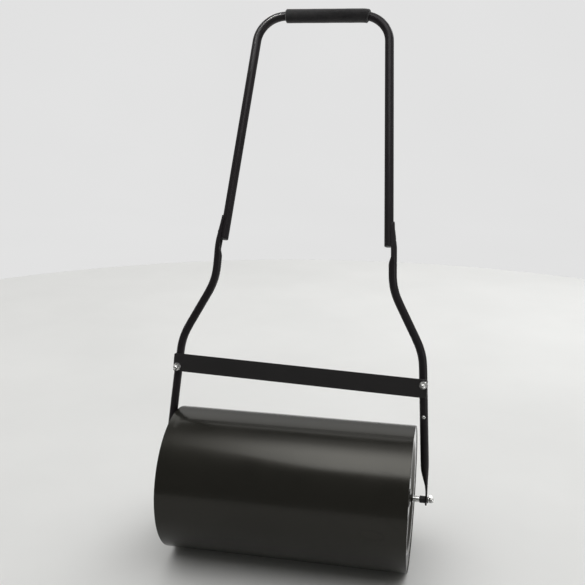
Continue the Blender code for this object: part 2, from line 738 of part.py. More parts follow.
def handle_path():
    """(x, s, tangent) along the U's centreline from the left-hand leg's end to the right-hand one's."""
    right_leg = (HANDLE_TOP_X - LEG_SLOPE * (HANDLE_END_S - HANDLE_TOP_S), HANDLE_END_S)
    corner = (HANDLE_TOP_X, HANDLE_TOP_S)
    arc = bend_points((0.0, HANDLE_TOP_S), corner, right_leg, HANDLE_CORNER_RADIUS, 9)
    leg_heading = (Vector(right_leg) - Vector(corner)).normalized()
    right = [*arc, (*right_leg, leg_heading)]
    left = [(-x, s, Vector((heading.x, -heading.y))) for x, s, heading in right[::-1]]
    return left + right


def round_section(x, s, heading, radius, count=20):
    centre = Vector((x, 0.0, s))
    across = Vector((-heading.y, 0.0, heading.x)) * radius
    front_to_back = Vector((0.0, radius, 0.0))
    made = []
    for k in range(count):
        angle = 2.0 * math.pi * k / count
        made.append(centre + across * math.cos(angle) + front_to_back * math.sin(angle))
    return made


def upper_handle(look, handle_frame):
    path = handle_path()
    inner = HANDLE_TUBE_RADIUS - HANDLE_WALL
    outside = [round_section(x, s, heading, HANDLE_TUBE_RADIUS) for x, s, heading in path]
    inside = [round_section(x, s, heading, inner) for x, s, heading in path]
    shape = skin(outside + inside[::-1], closed_loop=True)
    handle = link_mesh("upper_handle", *shape, look, handle_frame)
    reach = HANDLE_TUBE_RADIUS + 2.5 * MM
    for name, side in (("left", -1), ("right", 1)):
        for number, s in enumerate(JOINT_SCREWS_S, 1):
            place = along(joint_point(s, side, 0.0), joint_axis(side))
            hole = moved(rod(INSERT_RADIUS + GAP, 0.0, reach, 16), place)
            cut(handle, cutter(f"leg_hole_{name}_{number}", *hole, handle_frame))


def leg_caps(look, handle_frame):
    """Plugs in the open lower ends of the handle's legs, drawn down the leg from its end."""
    stem = HANDLE_TUBE_RADIUS - HANDLE_WALL - GAP
    head = HANDLE_TUBE_RADIUS - 0.2 * MM
    profile = [(-7.0 * MM, 0.0), (-7.0 * MM, stem - 0.6 * MM), (-6.4 * MM, stem), (GAP, stem)]
    profile += [(GAP, head), (1.3 * MM, head), (1.9 * MM, head - 1.0 * MM), (1.9 * MM, 0.0)]
    for name, side in (("left", -1), ("right", 1)):
        downward = Vector((side * LEG_SLOPE, 0.0, -1.0)).normalized()
        place = along(joint_point(HANDLE_END_S, side, 0.0), downward)
        link_mesh(f"leg_cap_{name}", *moved(lathe_x(profile, 20), place), look, handle_frame)


def joint_screws(look, handle_frame):
    """Countersunk screws through each arm's pressed top into the handle's leg."""
    tip = JOINT_SCREW_TIP
    edge = 0.5 * MM
    for name, side in (("left", -1), ("right", 1)):
        for number, s in enumerate(JOINT_SCREWS_S, 1):
            top = head_top(s)
            profile = [(tip, 0.0), (tip, JOINT_SCREW_RADIUS - edge), (tip + edge, JOINT_SCREW_RADIUS)]
            profile += [(top - JOINT_HEAD_DEPTH, JOINT_SCREW_RADIUS), (top - 0.2 * MM, JOINT_HEAD_RADIUS)]
            profile += [(top, JOINT_HEAD_RADIUS), (top, 0.0)]
            place = along(joint_point(s, side, 0.0), joint_axis(side))
            shape = moved(lathe_x(profile, 16), place)
            link_mesh(f"joint_screw_{name}_{number}", *shape, look, handle_frame)


def joint_nuts(look, handle_frame):
    """Threaded inserts set in the legs' outer walls for the joint screws. Each bore is blind."""
    bore = JOINT_SCREW_RADIUS + GAP
    bottom = INSERT_TOP - INSERT_LENGTH
    edge = 0.5 * MM
    profile = [(bottom + 1.0 * MM, 0.0), (bottom + 1.0 * MM, bore), (INSERT_TOP, bore)]
    profile += [(INSERT_TOP, INSERT_RADIUS), (bottom + edge, INSERT_RADIUS)]
    profile += [(bottom, INSERT_RADIUS - edge), (bottom, 0.0)]
    for name, side in (("left", -1), ("right", 1)):
        for number, s in enumerate(JOINT_SCREWS_S, 1):
            place = along(joint_point(s, side, 0.0), joint_axis(side))
            shape = moved(lathe_x(profile, 16), place)
            link_mesh(f"joint_nut_{name}_{number}", *shape, look, handle_frame)


def bar_spot(x):
    """(x, s, heading) of the handle's centreline at x, on the top bar or just round its corners."""
    angle = (math.pi / 2.0 - math.atan(LEG_SLOPE)) / 2.0
    straight = HANDLE_TOP_X - HANDLE_CORNER_RADIUS * math.tan(angle)
    past = max(0.0, abs(x) - straight)
    turn = math.asin(past / HANDLE_CORNER_RADIUS)
    drop = HANDLE_CORNER_RADIUS * (1.0 - math.cos(turn))
    heading = Vector((math.cos(turn), -math.copysign(math.sin(turn), x)))
    return x, HANDLE_TOP_S - drop, heading


def grip(look, handle_frame):
    """Foam sleeve that follows the bar, with rounded ends."""
    half = GRIP_LENGTH / 2.0
    bore = HANDLE_TUBE_RADIUS + 2.0 * GAP
    round_off = [(0.0, 1.8 * MM), (0.6 * MM, 0.5 * MM), (2.0 * MM, 0.0), (8.0 * MM, 0.0), (20.0 * MM, 0.0)]
    outline = [(inset - half, GRIP_RADIUS - less) for inset, less in round_off]
    outline += [(half - inset, GRIP_RADIUS - less) for inset, less in round_off[::-1]]

    def ring(x, radius):
        return round_section(*bar_spot(x + GRIP_SHIFT), radius, 28)

    outside = [ring(x, radius) for x, radius in outline]
    inside = [ring(x, bore) for x, radius in outline if radius == GRIP_RADIUS]
    shape = skin(outside + [ring(half, bore)] + inside[::-1] + [ring(-half, bore)], closed_loop=True)
    link_mesh("foam_grip", *shape, look, handle_frame)


# ---------------------------------------------------------------- the brace


def brace(look, arm_frame):
    """Flat bar across the fronts of the arms. Its bolt holes are off centre, so it hangs slightly askew."""
    made = bmesh.new()
    bmesh.ops.create_cube(made, size=1.0)
    bmesh.ops.scale(made, vec=(BRACE_LENGTH, BRACE_THICKNESS, BRACE_HEIGHT), verts=made.verts)
    corners = [e for e in made.edges if abs(e.verts[0].co.y - e.verts[1].co.y) > BRACE_THICKNESS / 2.0]
    bmesh.ops.bevel(made, geom=corners, offset=4.0 * MM, segments=4, affect="EDGES", profile=0.5)
    rims = [e for e in made.edges if abs(e.verts[0].co.y - e.verts[1].co.y) < BRACE_THICKNESS / 2.0]
    bmesh.ops.bevel(made, geom=rims, offset=0.45 * MM, segments=2, affect="EDGES", profile=0.5)
    depth = -(ARM_TUBE_RADIUS + GAP + BRACE_THICKNESS / 2.0)
    place = Matrix.Translation((0.0, depth, BRACE_W + BRACE_RISE)) @ Matrix.Rotation(BRACE_TILT, 4, "Y")
    bar = link_mesh("cross_brace", *moved(drained(made), place), look, arm_frame)
    for name, side in (("left", -1), ("right", 1)):
        place = along((side * BRACE_BOLT_X, depth, BRACE_W), (0.0, 1.0, 0.0))
        hole = moved(rod(BOLT_RADIUS + GAP, -5.0 * MM, 5.0 * MM, 20), place)
        cut(bar, cutter(f"brace_hole_{name}", *hole, arm_frame))


def brace_hardware(look, arm_frame):
    """Round-headed bolts from behind the arms, with washers and cap nuts on the front."""
    head_seat = ARM_TUBE_RADIUS + GAP
    washer_seat = ARM_TUBE_RADIUS + BRACE_THICKNESS + 2.0 * GAP
    nut_seat = washer_seat + WASHER_THICKNESS + GAP
    length = head_seat + nut_seat + NUT_DEPTH - THREAD_END_GAP
    bolt = dome_head(BOLT_HEAD_RADIUS, BOLT_HEAD_HEIGHT, BOLT_RADIUS, length)
    for name, side in (("left", -1), ("right", 1)):
        forward = along((side * BRACE_BOLT_X, 0.0, BRACE_W), (0.0, -1.0, 0.0))
        backward = along((side * BRACE_BOLT_X, head_seat, BRACE_W), (0.0, 1.0, 0.0))
        link_mesh(f"brace_bolt_{name}", *moved(bolt, backward), look, arm_frame)
        washer = moved(plain_washer(), forward @ Matrix.Translation((washer_seat, 0.0, 0.0)))
        link_mesh(f"brace_washer_{name}", *washer, look, arm_frame)
        nut = moved(dome_nut(), forward @ Matrix.Translation((nut_seat, 0.0, 0.0)))
        link_mesh(f"brace_nut_{name}", *nut, look, arm_frame)


def arm_screw(look, arm_frame):
    """Small round-headed screw in the front of the right-hand arm, below the brace."""
    front = (arm_centre_x(ARM_SCREW_W), -(ARM_TUBE_RADIUS + GAP), ARM_SCREW_W)
    shape = dome_head(3.6 * MM, 2.3 * MM, ARM_SCREW_RADIUS, 5.0 * MM, segments=16)
    link_mesh("arm_screw", *moved(shape, along(front, (0.0, -1.0, 0.0))), look, arm_frame)


# ---------------------------------------------------------------- assembly


def main():
    clear_scene()
    drum_paint = material("drum_paint", (0.020, 0.019, 0.018), 0.0, 0.32)
    frame_paint = material("frame_paint", (0.018, 0.015, 0.018), 0.0, 0.38)
    zinc = material("bright_zinc", (0.72, 0.72, 0.70), 1.0, 0.22)
    black_steel = material("black_fastener", (0.025, 0.024, 0.025), 0.6, 0.45)
    nylon = material("black_nylon", (0.022, 0.022, 0.023), 0.0, 0.55)
    plug_plastic = material("plug_plastic", (0.030, 0.030, 0.030), 0.0, 0.50)
    rubber = material("seal_rubber", (0.015, 0.015, 0.015), 0.0, 0.80)
    foam = material("grip_foam", (0.022, 0.020, 0.021), 0.0, 0.90)

    pivot = empty("drum_axis", (0.0, 0.0, AXLE_Z), 0.0)
    arm_frame = empty("arm_frame", (0.0, 0.0, AXLE_Z), ARM_LEAN)
    handle_frame = empty("handle_frame", (0.0, JOINT_Y, JOINT_W), HANDLE_KINK, arm_frame)

    drum_shell(drum_paint, pivot)
    ends = drum_ends(drum_paint, pivot)
    hubs(drum_paint, pivot)
    filler_neck(ends[0], drum_paint, pivot)
    plug_seal(rubber, pivot)
    filler_plug(plug_plastic, pivot)
    axle(zinc, pivot)
    arms(frame_paint, arm_frame, handle_frame)
    bushes(nylon, arm_frame)
    upper_handle(frame_paint, handle_frame)
    leg_caps(nylon, handle_frame)
    joint_screws(black_steel, handle_frame)
    joint_nuts(black_steel, handle_frame)
    grip(foam, handle_frame)
    brace(frame_paint, arm_frame)
    brace_hardware(zinc, arm_frame)
    arm_screw(zinc, arm_frame)


main()
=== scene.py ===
"""Looks of the lawn roller: fine meshes, materials, floor, light and camera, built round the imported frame."""

import json
import math

import bmesh
import bpy
import numpy as np
from mathutils import Matrix, Vector


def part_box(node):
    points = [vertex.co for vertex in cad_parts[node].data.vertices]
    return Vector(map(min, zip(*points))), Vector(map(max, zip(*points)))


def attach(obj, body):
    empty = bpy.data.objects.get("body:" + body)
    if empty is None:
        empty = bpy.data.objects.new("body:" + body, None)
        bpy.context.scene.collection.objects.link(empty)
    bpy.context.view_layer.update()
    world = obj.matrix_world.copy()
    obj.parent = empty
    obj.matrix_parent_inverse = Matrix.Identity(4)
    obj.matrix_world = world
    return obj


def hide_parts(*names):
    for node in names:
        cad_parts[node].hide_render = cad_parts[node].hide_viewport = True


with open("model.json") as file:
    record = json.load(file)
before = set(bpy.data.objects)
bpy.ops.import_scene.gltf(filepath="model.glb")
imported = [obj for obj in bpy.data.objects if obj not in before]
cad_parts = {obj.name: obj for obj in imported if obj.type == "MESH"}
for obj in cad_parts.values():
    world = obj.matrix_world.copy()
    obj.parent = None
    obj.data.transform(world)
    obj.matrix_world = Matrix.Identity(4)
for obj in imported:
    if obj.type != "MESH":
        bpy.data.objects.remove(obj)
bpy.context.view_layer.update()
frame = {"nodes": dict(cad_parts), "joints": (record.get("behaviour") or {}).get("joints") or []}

MM = 0.001
NODES = frame["nodes"]
SIDES = (("left", -1), ("right", 1))
JOINTS = {joint["name"]: joint for joint in frame["joints"]}
AXLE = Vector(JOINTS["drum_spin"]["pos_m"])
AXLE_PLACE = Matrix.Translation(AXLE)
BARREL_LOW, BARREL_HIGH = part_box("drum_shell")
BARREL_RADIUS = (BARREL_HIGH.z - BARREL_LOW.z) / 2.0
BARREL_HALF = BARREL_HIGH.x
X_AXIS = Vector((1.0, 0.0, 0.0))
GAP = 0.3 * MM
SHARP_ANGLE = math.radians(35.0)


# ---------------- reading the frame


def cad_points(node):
    mesh = NODES[node].data
    found = np.empty(len(mesh.vertices) * 3, np.float32)
    mesh.vertices.foreach_get("co", found)
    return found.reshape(-1, 3).astype(float)


def principal_directions(node):
    """The node's own axes, from the one it is longest along to the one it is thinnest along."""
    points = cad_points(node)
    _, spread, rows = np.linalg.svd(points - points.mean(0), full_matrices=False)
    return spread, [Vector(row) for row in rows]


def thin_direction(node):
    """The way across a flat node's thickness, pointing back."""
    _, directions = principal_directions(node)
    return directions[2] if directions[2].y > 0.0 else -directions[2]


def turned_direction(node, hint):
    """The axis of a turned or hexagonal node: the direction whose spread differs from the other two."""
    spread, directions = principal_directions(node)
    axis = directions[0] if spread[0] - spread[1] > spread[1] - spread[2] else directions[2]
    return axis if axis.dot(Vector(hint)) > 0.0 else -axis


def along(origin, direction):
    """Matrix that carries the X axis to a direction from an origin."""
    turn = X_AXIS.rotation_difference(Vector(direction).normalized())
    return Matrix.Translation(origin) @ turn.to_matrix().to_4x4()


def leaning(origin, normal):
    """Frame with X to the right, Y along a normal that points back, and Z up the plane."""
    normal = Vector((0.0, normal.y, normal.z)).normalized()
    axes = Matrix((X_AXIS, normal, X_AXIS.cross(normal))).transposed()
    return Matrix.Translation(origin) @ axes.to_4x4()


def local_points(node, place):
    back = np.array(place.inverted())
    return cad_points(node) @ back[:3, :3].T + back[:3, 3]


def local_box(node, place):
    points = local_points(node, place)
    return Vector(points.min(0)), Vector(points.max(0))


class Spindle:
    """A turned node's own axis, with its length, radius and bore. `place` has X along it from its start."""

    def __init__(self, node, hint, exact=False):
        direction = Vector(hint).normalized() if exact else turned_direction(node, hint)
        turn = along((0.0, 0.0, 0.0), direction)
        low, high = local_box(node, turn)
        middle = (low + high) / 2.0
        self.node = node
        self.place = along(turn @ Vector((low.x, middle.y, middle.z)), direction)
        self.length = high.x - low.x
        points = local_points(node, self.place)
        radii = np.hypot(points[:, 1], points[:, 2])
        self.radius = float(radii.max())
        self.bore = float(radii.min())


class Slices:
    """Cross-sections of a node at heights in the frame of a matrix."""

    def __init__(self, node, place):
        mesh = NODES[node].data
        ends = np.empty(len(mesh.edges) * 2, np.int32)
        mesh.edges.foreach_get("vertices", ends)
        self.ends = local_points(node, place)[ends.reshape(-1, 2)]

    def at(self, height):
        low, high = self.ends[:, 0], self.ends[:, 1]
        crossing = (low[:, 2] - height) * (high[:, 2] - height) < 0.0
        low, high = low[crossing], high[crossing]
        share = (height - low[:, 2]) / (high[:, 2] - low[:, 2])
        return low + (high - low) * share[:, None]


ARM_PLACE = leaning(AXLE, thin_direction("cross_brace"))
HANDLE_MIDDLE = Vector(cad_points("upper_handle").mean(0))
HANDLE_PLACE = leaning((0.0, HANDLE_MIDDLE.y, HANDLE_MIDDLE.z), thin_direction("upper_handle"))


# ---------------- shapes


def skin(rings, closed_loop=False, caps=True):
    """Quads between rings of equal count. A ring of one point is a pole. Open stacks get flat caps."""
    points = [point for ring in rings for point in ring]
    starts = [0, *np.cumsum([len(ring) for ring in rings]).tolist()]
    faces = []
    for low in range(len(rings) if closed_loop else len(rings) - 1):
        high = (low + 1) % len(rings)
        for k in range(max(len(rings[low]), len(rings[high]))):
            corners = ((low, k), (low, k + 1), (high, k + 1), (high, k))
            # A pole's two corners are one point, which leaves a triangle.
            face = dict.fromkeys(starts[ring] + spot % len(rings[ring]) for ring, spot in corners)
            faces.append(tuple(face))
    if caps and not closed_loop:
        for first, last in (starts[:2], starts[-2:]):
            if last - first > 1:
                faces.append(tuple(range(first, last)))
    return points, faces


def round_angles(count):
    return [2.0 * math.pi * k / count for k in range(count)]


def turned_ring(x, radius, segments):
    """Ring about the X axis. Its radius may be a function of the angle. With no radius it is a pole."""
    if not callable(radius) and abs(radius) < 1e-9:
        return [Vector((x, 0.0, 0.0))]
    made = []
    for angle in round_angles(segments):
        reach = radius(angle) if callable(radius) else radius
        made.append(Vector((x, reach * math.sin(angle), reach * math.cos(angle))))
    return made


def lathe(profile, segments, closed_loop=False):
    """Turns (x, radius) points about the X axis."""
    return skin([turned_ring(x, radius, segments) for x, radius in profile], closed_loop)


def moved(shape, matrix):
    points, faces = shape
    return [matrix @ p for p in points], faces


def mirrored(shape, side):
    """The shape as drawn for the right-hand side, or its mirror image for the left."""
    points, faces = shape
    return [Vector((side * p.x, p.y, p.z)) for p in points], faces


def joined(*shapes):
    points = []
    faces = []
    for more_points, more_faces in shapes:
        start = len(points)
        points += more_points
        faces += [tuple(start + index for index in face) for face in more_faces]
    return points, faces


def rounded(path, reach, steps=4, closed_loop=False):
    """The path with each corner eased over `reach` to either side, and a support point just beyond."""
    spots = [Vector(spot) for spot in path]
    count = len(spots)
    made = [] if closed_loop else [spots[0]]
    for index in range(0 if closed_loop else 1, count if closed_loop else count - 1):
        corner = spots[index]
        before = spots[index - 1] - corner
        after = spots[(index + 1) % count] - corner
        back = before.normalized() * min(reach, 0.4 * before.length)
        ahead = after.normalized() * min(reach, 0.4 * after.length)
        made.append(corner + 1.2 * back)
        for step in range(steps + 1):
            share = step / steps
            made.append(corner + back * (1.0 - share) ** 2 + ahead * share**2)
        made.append(corner + 1.2 * ahead)
    if not closed_loop:
        made.append(spots[-1])
    return made


def stadium(half_thickness, half_width, count):
    """Points (u, v) spaced evenly round a stadium: u through its thickness, v across its width."""
    straight = half_width - half_thickness
    arc = math.pi * half_thickness
    lap = 2.0 * straight + arc
    made = []
    for k in range(count):
        run = 2.0 * lap * k / count
        flip = 1.0
        if run > lap:
            run -= lap
            flip = -1.0
        if run <= straight:
            u, v = half_thickness, run
        elif run <= straight + arc:
            turn = (run - straight) / half_thickness
            u, v = half_thickness * math.cos(turn), straight + half_thickness * math.sin(turn)
        else:
            u, v = -half_thickness, lap - run
        made.append((flip * u, flip * v))
    return made


def weld_bead(radius, width, height, ripples, segments):
    """A bead round the X axis, its foot on the plane x = 0, with the overlapping ripples of a weld."""
    rings = []
    for angle in round_angles(segments):
        phase = (ripples * angle / (2.0 * math.pi)) % 1.0
        swell = 0.82 + 0.18 * math.sin(math.pi * phase) ** 0.6
        wander = 0.06 * width * math.sin(3.0 * angle + 0.7)
        ring = []
        for turn in round_angles(10):
            x = max(-0.3 * height, height * swell * math.sin(turn))
            across = radius + wander + 0.5 * width * swell * math.cos(turn)
            ring.append(Vector((x, across * math.sin(angle), across * math.cos(angle))))
        rings.append(ring)
    return skin(rings, closed_loop=True)


# ---------------- node materials


def add(tree, kind, inputs=None, **settings):
    node = tree.nodes.new(kind)
    for key, value in settings.items():
        setattr(node, key, value)
    for key, value in (inputs or {}).items():
        if isinstance(value, bpy.types.NodeSocket):
            tree.links.new(value, node.inputs[key])
        else:
            node.inputs[key].default_value = value
    return node


def maths(tree, operation, *values):
    return add(tree, "ShaderNodeMath", dict(enumerate(values)), operation=operation).outputs["Value"]


def spanned(tree, value, start, end, low=0.0, high=1.0, **settings):
    """The value's way from start to end, carried over to low to high."""
    inputs = {"Value": value, "From Min": start, "From Max": end, "To Min": low, "To Max": high}
    return add(tree, "ShaderNodeMapRange", inputs, **settings).outputs["Result"]


def ramp(tree, factor, *stops):
    """A colour ramp through (position, grey or colour) stops."""
    node = add(tree, "ShaderNodeValToRGB", {"Fac": factor})
    elements = node.color_ramp.elements
    while len(elements) < len(stops):
        elements.new(0.5)
    for element, (position, colour) in zip(elements, stops):
        element.position = position
        element.color = (*colour, 1.0) if isinstance(colour, tuple) else (colour, colour, colour, 1.0)
    return node.outputs["Color"]


def blended(tree, share, first, second):
    node = add(tree, "ShaderNodeMix", data_type="RGBA")
    for index, value in ((0, share), (6, first), (7, second)):
        if isinstance(value, bpy.types.NodeSocket):
            tree.links.new(value, node.inputs[index])
        else:
            node.inputs[index].default_value = (*value, 1.0) if isinstance(value, tuple) else value
    return node.outputs[2]


class Look:
    """A Principled material whose patterns are in the object's own coordinates, in metres."""

    def __init__(self, name, slot, **constants):
        self.slot = slot
        self.material = bpy.data.materials.new(name)
        self.material.use_nodes = True
        self.tree = self.material.node_tree
        self.shader = self.tree.nodes["Principled BSDF"]
        for socket, value in constants.items():
            self.shader.inputs[socket.replace("_", " ")].default_value = value
        self.coords = add(self.tree, "ShaderNodeTexCoord").outputs["Object"]
        self.normal = None

    def stretched(self, *scale):
        return add(self.tree, "ShaderNodeMapping", {"Vector": self.coords, "Scale": scale}).outputs["Vector"]

    def noise(self, scale, detail=3.0, roughness=0.5, vector=None):
        inputs = {"Vector": vector or self.coords, "Scale": scale, "Detail": detail, "Roughness": roughness}
        return add(self.tree, "ShaderNodeTexNoise", inputs).outputs["Fac"]

    def cells(self, scale):
        inputs = {"Vector": self.coords, "Scale": scale}
        return add(self.tree, "ShaderNodeTexVoronoi", inputs).outputs["Distance"]

    def tone(self, dark, light, scale, detail=4.0):
        """Broad drift between two colours."""
        self.colour = ramp(self.tree, self.noise(scale, detail), (0.32, dark), (0.68, light))

    def specks(self, scale, start, colour, strength=1.0):
        """Sparse spots of another colour where a fine noise peaks."""
        spots = ramp(self.tree, self.noise(scale, 2.0), (start, 0.0), (start + 0.03, strength))
        self.colour = blended(self.tree, spots, self.colour, colour)

    def roughness(self, low, high, scale, detail=3.0):
        level = spanned(self.tree, self.noise(scale, detail), 0.3, 0.7, low, high)
        self.tree.links.new(level, self.shader.inputs["Roughness"])

    def bump(self, height, distance, strength=1.0):
        inputs = {"Height": height, "Distance": distance, "Strength": strength}
        if self.normal:
            inputs["Normal"] = self.normal
        self.normal = add(self.tree, "ShaderNodeBump", inputs).outputs["Normal"]

    def seam(self, value, middle, half_width):
        """1 where the value is at the middle, falling to 0 at the half width."""
        away = maths(self.tree, "ABSOLUTE", maths(self.tree, "SUBTRACT", value, middle))
        return spanned(self.tree, away, 0.5 * half_width, half_width, 1.0, 0.0)

    def done(self):
        self.tree.links.new(self.colour, self.shader.inputs["Base Color"])
        if self.normal:
            self.tree.links.new(self.normal, self.shader.inputs["Normal"])
        return self


def drum_paint():
    """Semi-gloss black enamel on rolled sheet: slight drift of tone, dust nibs and faint rubs.

    It has a dark seam round each end of the barrel, part dirt and part painted shadow in the crevice; its coat
    grows only beyond the barrel's length.
    """
    look = Look("drum_enamel", "drum_paint", Coat_Roughness=0.10, Specular_Tint=(1.0, 0.97, 0.87, 1.0))
    look.tone((0.0092, 0.0087, 0.0068), (0.0128, 0.0121, 0.0094), 5.0)
    look.specks(310.0, 0.775, (0.11, 0.105, 0.095), 0.6)
    rubs = look.noise(9.0, 5.0, 0.65, look.stretched(0.25, 1.0, 1.0))
    rubs = ramp(look.tree, rubs, (0.62, 0.0), (0.80, 0.25))
    look.colour = blended(look.tree, rubs, look.colour, (0.024, 0.023, 0.019))
    across = add(look.tree, "ShaderNodeSeparateXYZ", {"Vector": look.coords}).outputs["X"]
    outward = maths(look.tree, "ABSOLUTE", across)
    # Painted shadow and dirt: the seam where the barrel meets each end is painted near-black, and its coat is
    # taken away there.
    seam = look.seam(outward, BARREL_HALF + 0.2 * MM, 1.3 * MM)
    look.colour = blended(look.tree, seam, look.colour, (0.003, 0.003, 0.003))
    ends = spanned(look.tree, outward, BARREL_HALF, BARREL_HALF + 2.0 * MM)
    coat = spanned(look.tree, ends, 0.0, 1.0, 0.25, 1.0)
    coat = maths(look.tree, "MULTIPLY", coat, maths(look.tree, "SUBTRACT", 1.0, seam))
    look.tree.links.new(coat, look.shader.inputs["Coat Weight"])
    look.roughness(0.19, 0.26, 14.0, 5.0)
    look.bump(look.noise(750.0, 2.0), 0.00006, 0.4)
    look.bump(look.noise(26.0, 3.0, 0.6, look.stretched(0.10, 1.0, 1.0)), 0.00016, 0.25)
    return look.done()


def frame_paint(name, shade, **finish):
    """Black powder coat with an orange-peel skin and a cool, slightly purple cast."""
    look = Look(name, "frame_paint", Specular_IOR_Level=0.22, **finish)
    # The tone is scaled by the shade. Below 1 this paints shade into the colour, as in the brace's copy.
    dark = tuple(shade * level for level in (0.0110, 0.0086, 0.0104))
    light = tuple(shade * level for level in (0.0160, 0.0130, 0.0152))
    look.tone(dark, light, 11.0)
    look.specks(420.0, 0.775, (0.09, 0.085, 0.085), 0.4)
    look.roughness(0.44, 0.56, 24.0, 4.0)
    look.bump(look.noise(900.0, 2.0), 0.00008, 0.5)
    look.bump(look.noise(160.0, 2.0), 0.00010, 0.3)
    return look.done()


def bright_zinc():
    """Zinc-plated steel: pale, with fine turning lines, cloudy passivation and a few dark pits."""
    look = Look("zinc_plate", "bright_zinc", Metallic=0.92)
    look.tone((0.66, 0.665, 0.66), (0.90, 0.895, 0.87), 190.0)
    look.specks(900.0, 0.72, (0.20, 0.18, 0.15), 0.6)
    look.roughness(0.12, 0.27, 320.0, 4.0)
    look.bump(look.noise(60.0, 3.0, 0.6, look.stretched(40.0, 1.0, 1.0)), 0.00004, 0.5)
    return look.done()


def black_fastener():
    """Black-oxide steel with a dull, slightly oily surface and a worn grey bloom."""
    look = Look("black_oxide", "black_fastener", Metallic=0.7)
    look.tone((0.018, 0.017, 0.018), (0.050, 0.048, 0.048), 260.0)
    look.specks(1100.0, 0.70, (0.16, 0.15, 0.14), 0.5)
    look.roughness(0.32, 0.52, 420.0)
    look.bump(look.noise(1300.0, 2.0), 0.00003, 0.6)
    return look.done()


def black_nylon():
    """Moulded nylon: even black with a fine spark-eroded grain."""
    look = Look("moulded_nylon", "black_nylon", Specular_IOR_Level=0.45)
    look.tone((0.0150, 0.0150, 0.0158), (0.0250, 0.0250, 0.0255), 130.0)
    look.roughness(0.45, 0.60, 500.0)
    look.bump(look.cells(1500.0), 0.00003, 0.6)
    return look.done()


def plug_plastic():
    """Injection-moulded polythene plug with a waxy sheen and flow marks."""
    look = Look("plug_polythene", "plug_plastic", Specular_IOR_Level=0.4)
    look.tone((0.020, 0.020, 0.021), (0.034, 0.034, 0.034), 70.0)
    look.roughness(0.38, 0.55, 150.0)
    look.bump(look.noise(420.0, 3.0), 0.00008, 0.5)
    return look.done()


def seal_rubber():
    """Matt rubber with a pale bloom."""
    look = Look("seal_rubber_matt", "seal_rubber", Specular_IOR_Level=0.3)
    look.tone((0.011, 0.011, 0.011), (0.024, 0.023, 0.022), 120.0)
    look.roughness(0.70, 0.90, 300.0)
    look.bump(look.noise(1000.0, 3.0), 0.00005, 0.6)
    return look.done()


def grip_foam():
    """Closed-cell foam: matt, with fine pores whose hollows are painted darker as shade, and soft low swells.
    """
    sheen = {"Sheen_Weight": 0.35, "Sheen_Roughness": 0.5}
    look = Look("closed_cell_foam", "grip_foam", Specular_IOR_Level=0.3, **sheen)
    look.tone((0.0130, 0.0118, 0.0130), (0.0225, 0.0208, 0.0220), 60.0)
    pores_and_painted_shade = ramp(look.tree, look.cells(1150.0), (0.10, 0.0), (0.45, 1.0))
    # Painted shade: the pore hollows are painted darker; the same mask dents them in the bump.
    look.colour = blended(look.tree, pores_and_painted_shade, (0.0060, 0.0055, 0.0060), look.colour)
    look.roughness(0.78, 0.95, 260.0)
    look.bump(pores_and_painted_shade, 0.00022, 0.6)
    look.bump(look.noise(210.0, 4.0), 0.00020, 0.4)
    return look.done()


PAINT = drum_paint()
COAT = frame_paint("frame_powder_coat", 1.0, Coat_Weight=0.15, Coat_Roughness=0.16)
# The brace's copy of the frame coat is painted darker (painted shade, scale 0.6) to offset the brighter
# reflection of its glossier coat.
BRACE_COAT_PAINTED_DARK = frame_paint("brace_powder_coat_painted_dark", 0.6, Coat_Weight=1.0, Coat_Roughness=0.08, Coat_IOR=1.65)
ZINC = bright_zinc()
OXIDE = black_fastener()
NYLON = black_nylon()
PLASTIC = plug_plastic()
RUBBER = seal_rubber()
FOAM = grip_foam()


# ---------------- pieces


def link_mesh(name, shape, material):
    points, faces = shape
    mesh = bpy.data.meshes.new(name)
    mesh.from_pydata([tuple(p) for p in points], [], faces)
    work = bmesh.new()
    work.from_mesh(mesh)
    bmesh.ops.recalc_face_normals(work, faces=work.faces)
    work.to_mesh(mesh)
    work.free()
    mesh.shade_smooth()
    mesh.set_sharp_from_angle(angle=SHARP_ANGLE)
    mesh.materials.append(material)
    made = bpy.data.objects.new(name, mesh)
    bpy.context.scene.collection.objects.link(made)
    return made


def pierce(target, shape):
    """Cuts a shape out of the target's mesh for good."""
    tool = link_mesh("piercing", shape, target.data.materials[0])
    boolean = target.modifiers.new("piercing", "BOOLEAN")
    boolean.operation = "DIFFERENCE"
    boolean.solver = "EXACT"
    boolean.object = tool
    graph = bpy.context.evaluated_depsgraph_get()
    cut_mesh = bpy.data.meshes.new_from_object(target.evaluated_get(graph))
    target.modifiers.clear()
    target.data = cut_mesh
    bpy.data.objects.remove(tool, do_unlink=True)


def piece(name, shape, look, body, *stands_for, holes=()):
    made = link_mesh(name, shape, look.material)
    for hole in holes:
        pierce(made, hole)
    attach(made, body)
    if stands_for:
        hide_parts(*stands_for)
    return made


def turned_piece(name, spindle, loop, ease, look, body, steps=3, segments=72):
    """A closed (x, radius) loop with eased corners, turned on the axis of the node that it stands for."""
    shape = lathe(rounded(loop, ease, steps, closed_loop=True), segments, closed_loop=True)
    piece(name, moved(shape, spindle.place), look, body, spindle.node)


def ring_loop(spindle):
    """Outline of a plain ring that fills the spindle's node."""
    inner, outer, length = spindle.bore, spindle.radius, spindle.length
    return [(0.0, inner), (length, inner), (length, outer), (0.0, outer)]


def stepped_loop(spindle, step, near, far):
    """Outline of a ring whose outer radius goes from near to far at the step."""
    inner, length = spindle.bore, spindle.length
    return [(0.0, inner), (length, inner), (length, far), (step, far), (step, near), (0.0, near)]


# ---------------- the drum

SHEET = 1.5 * MM
BARREL_SEGMENTS = 256
END_SEGMENTS = 192


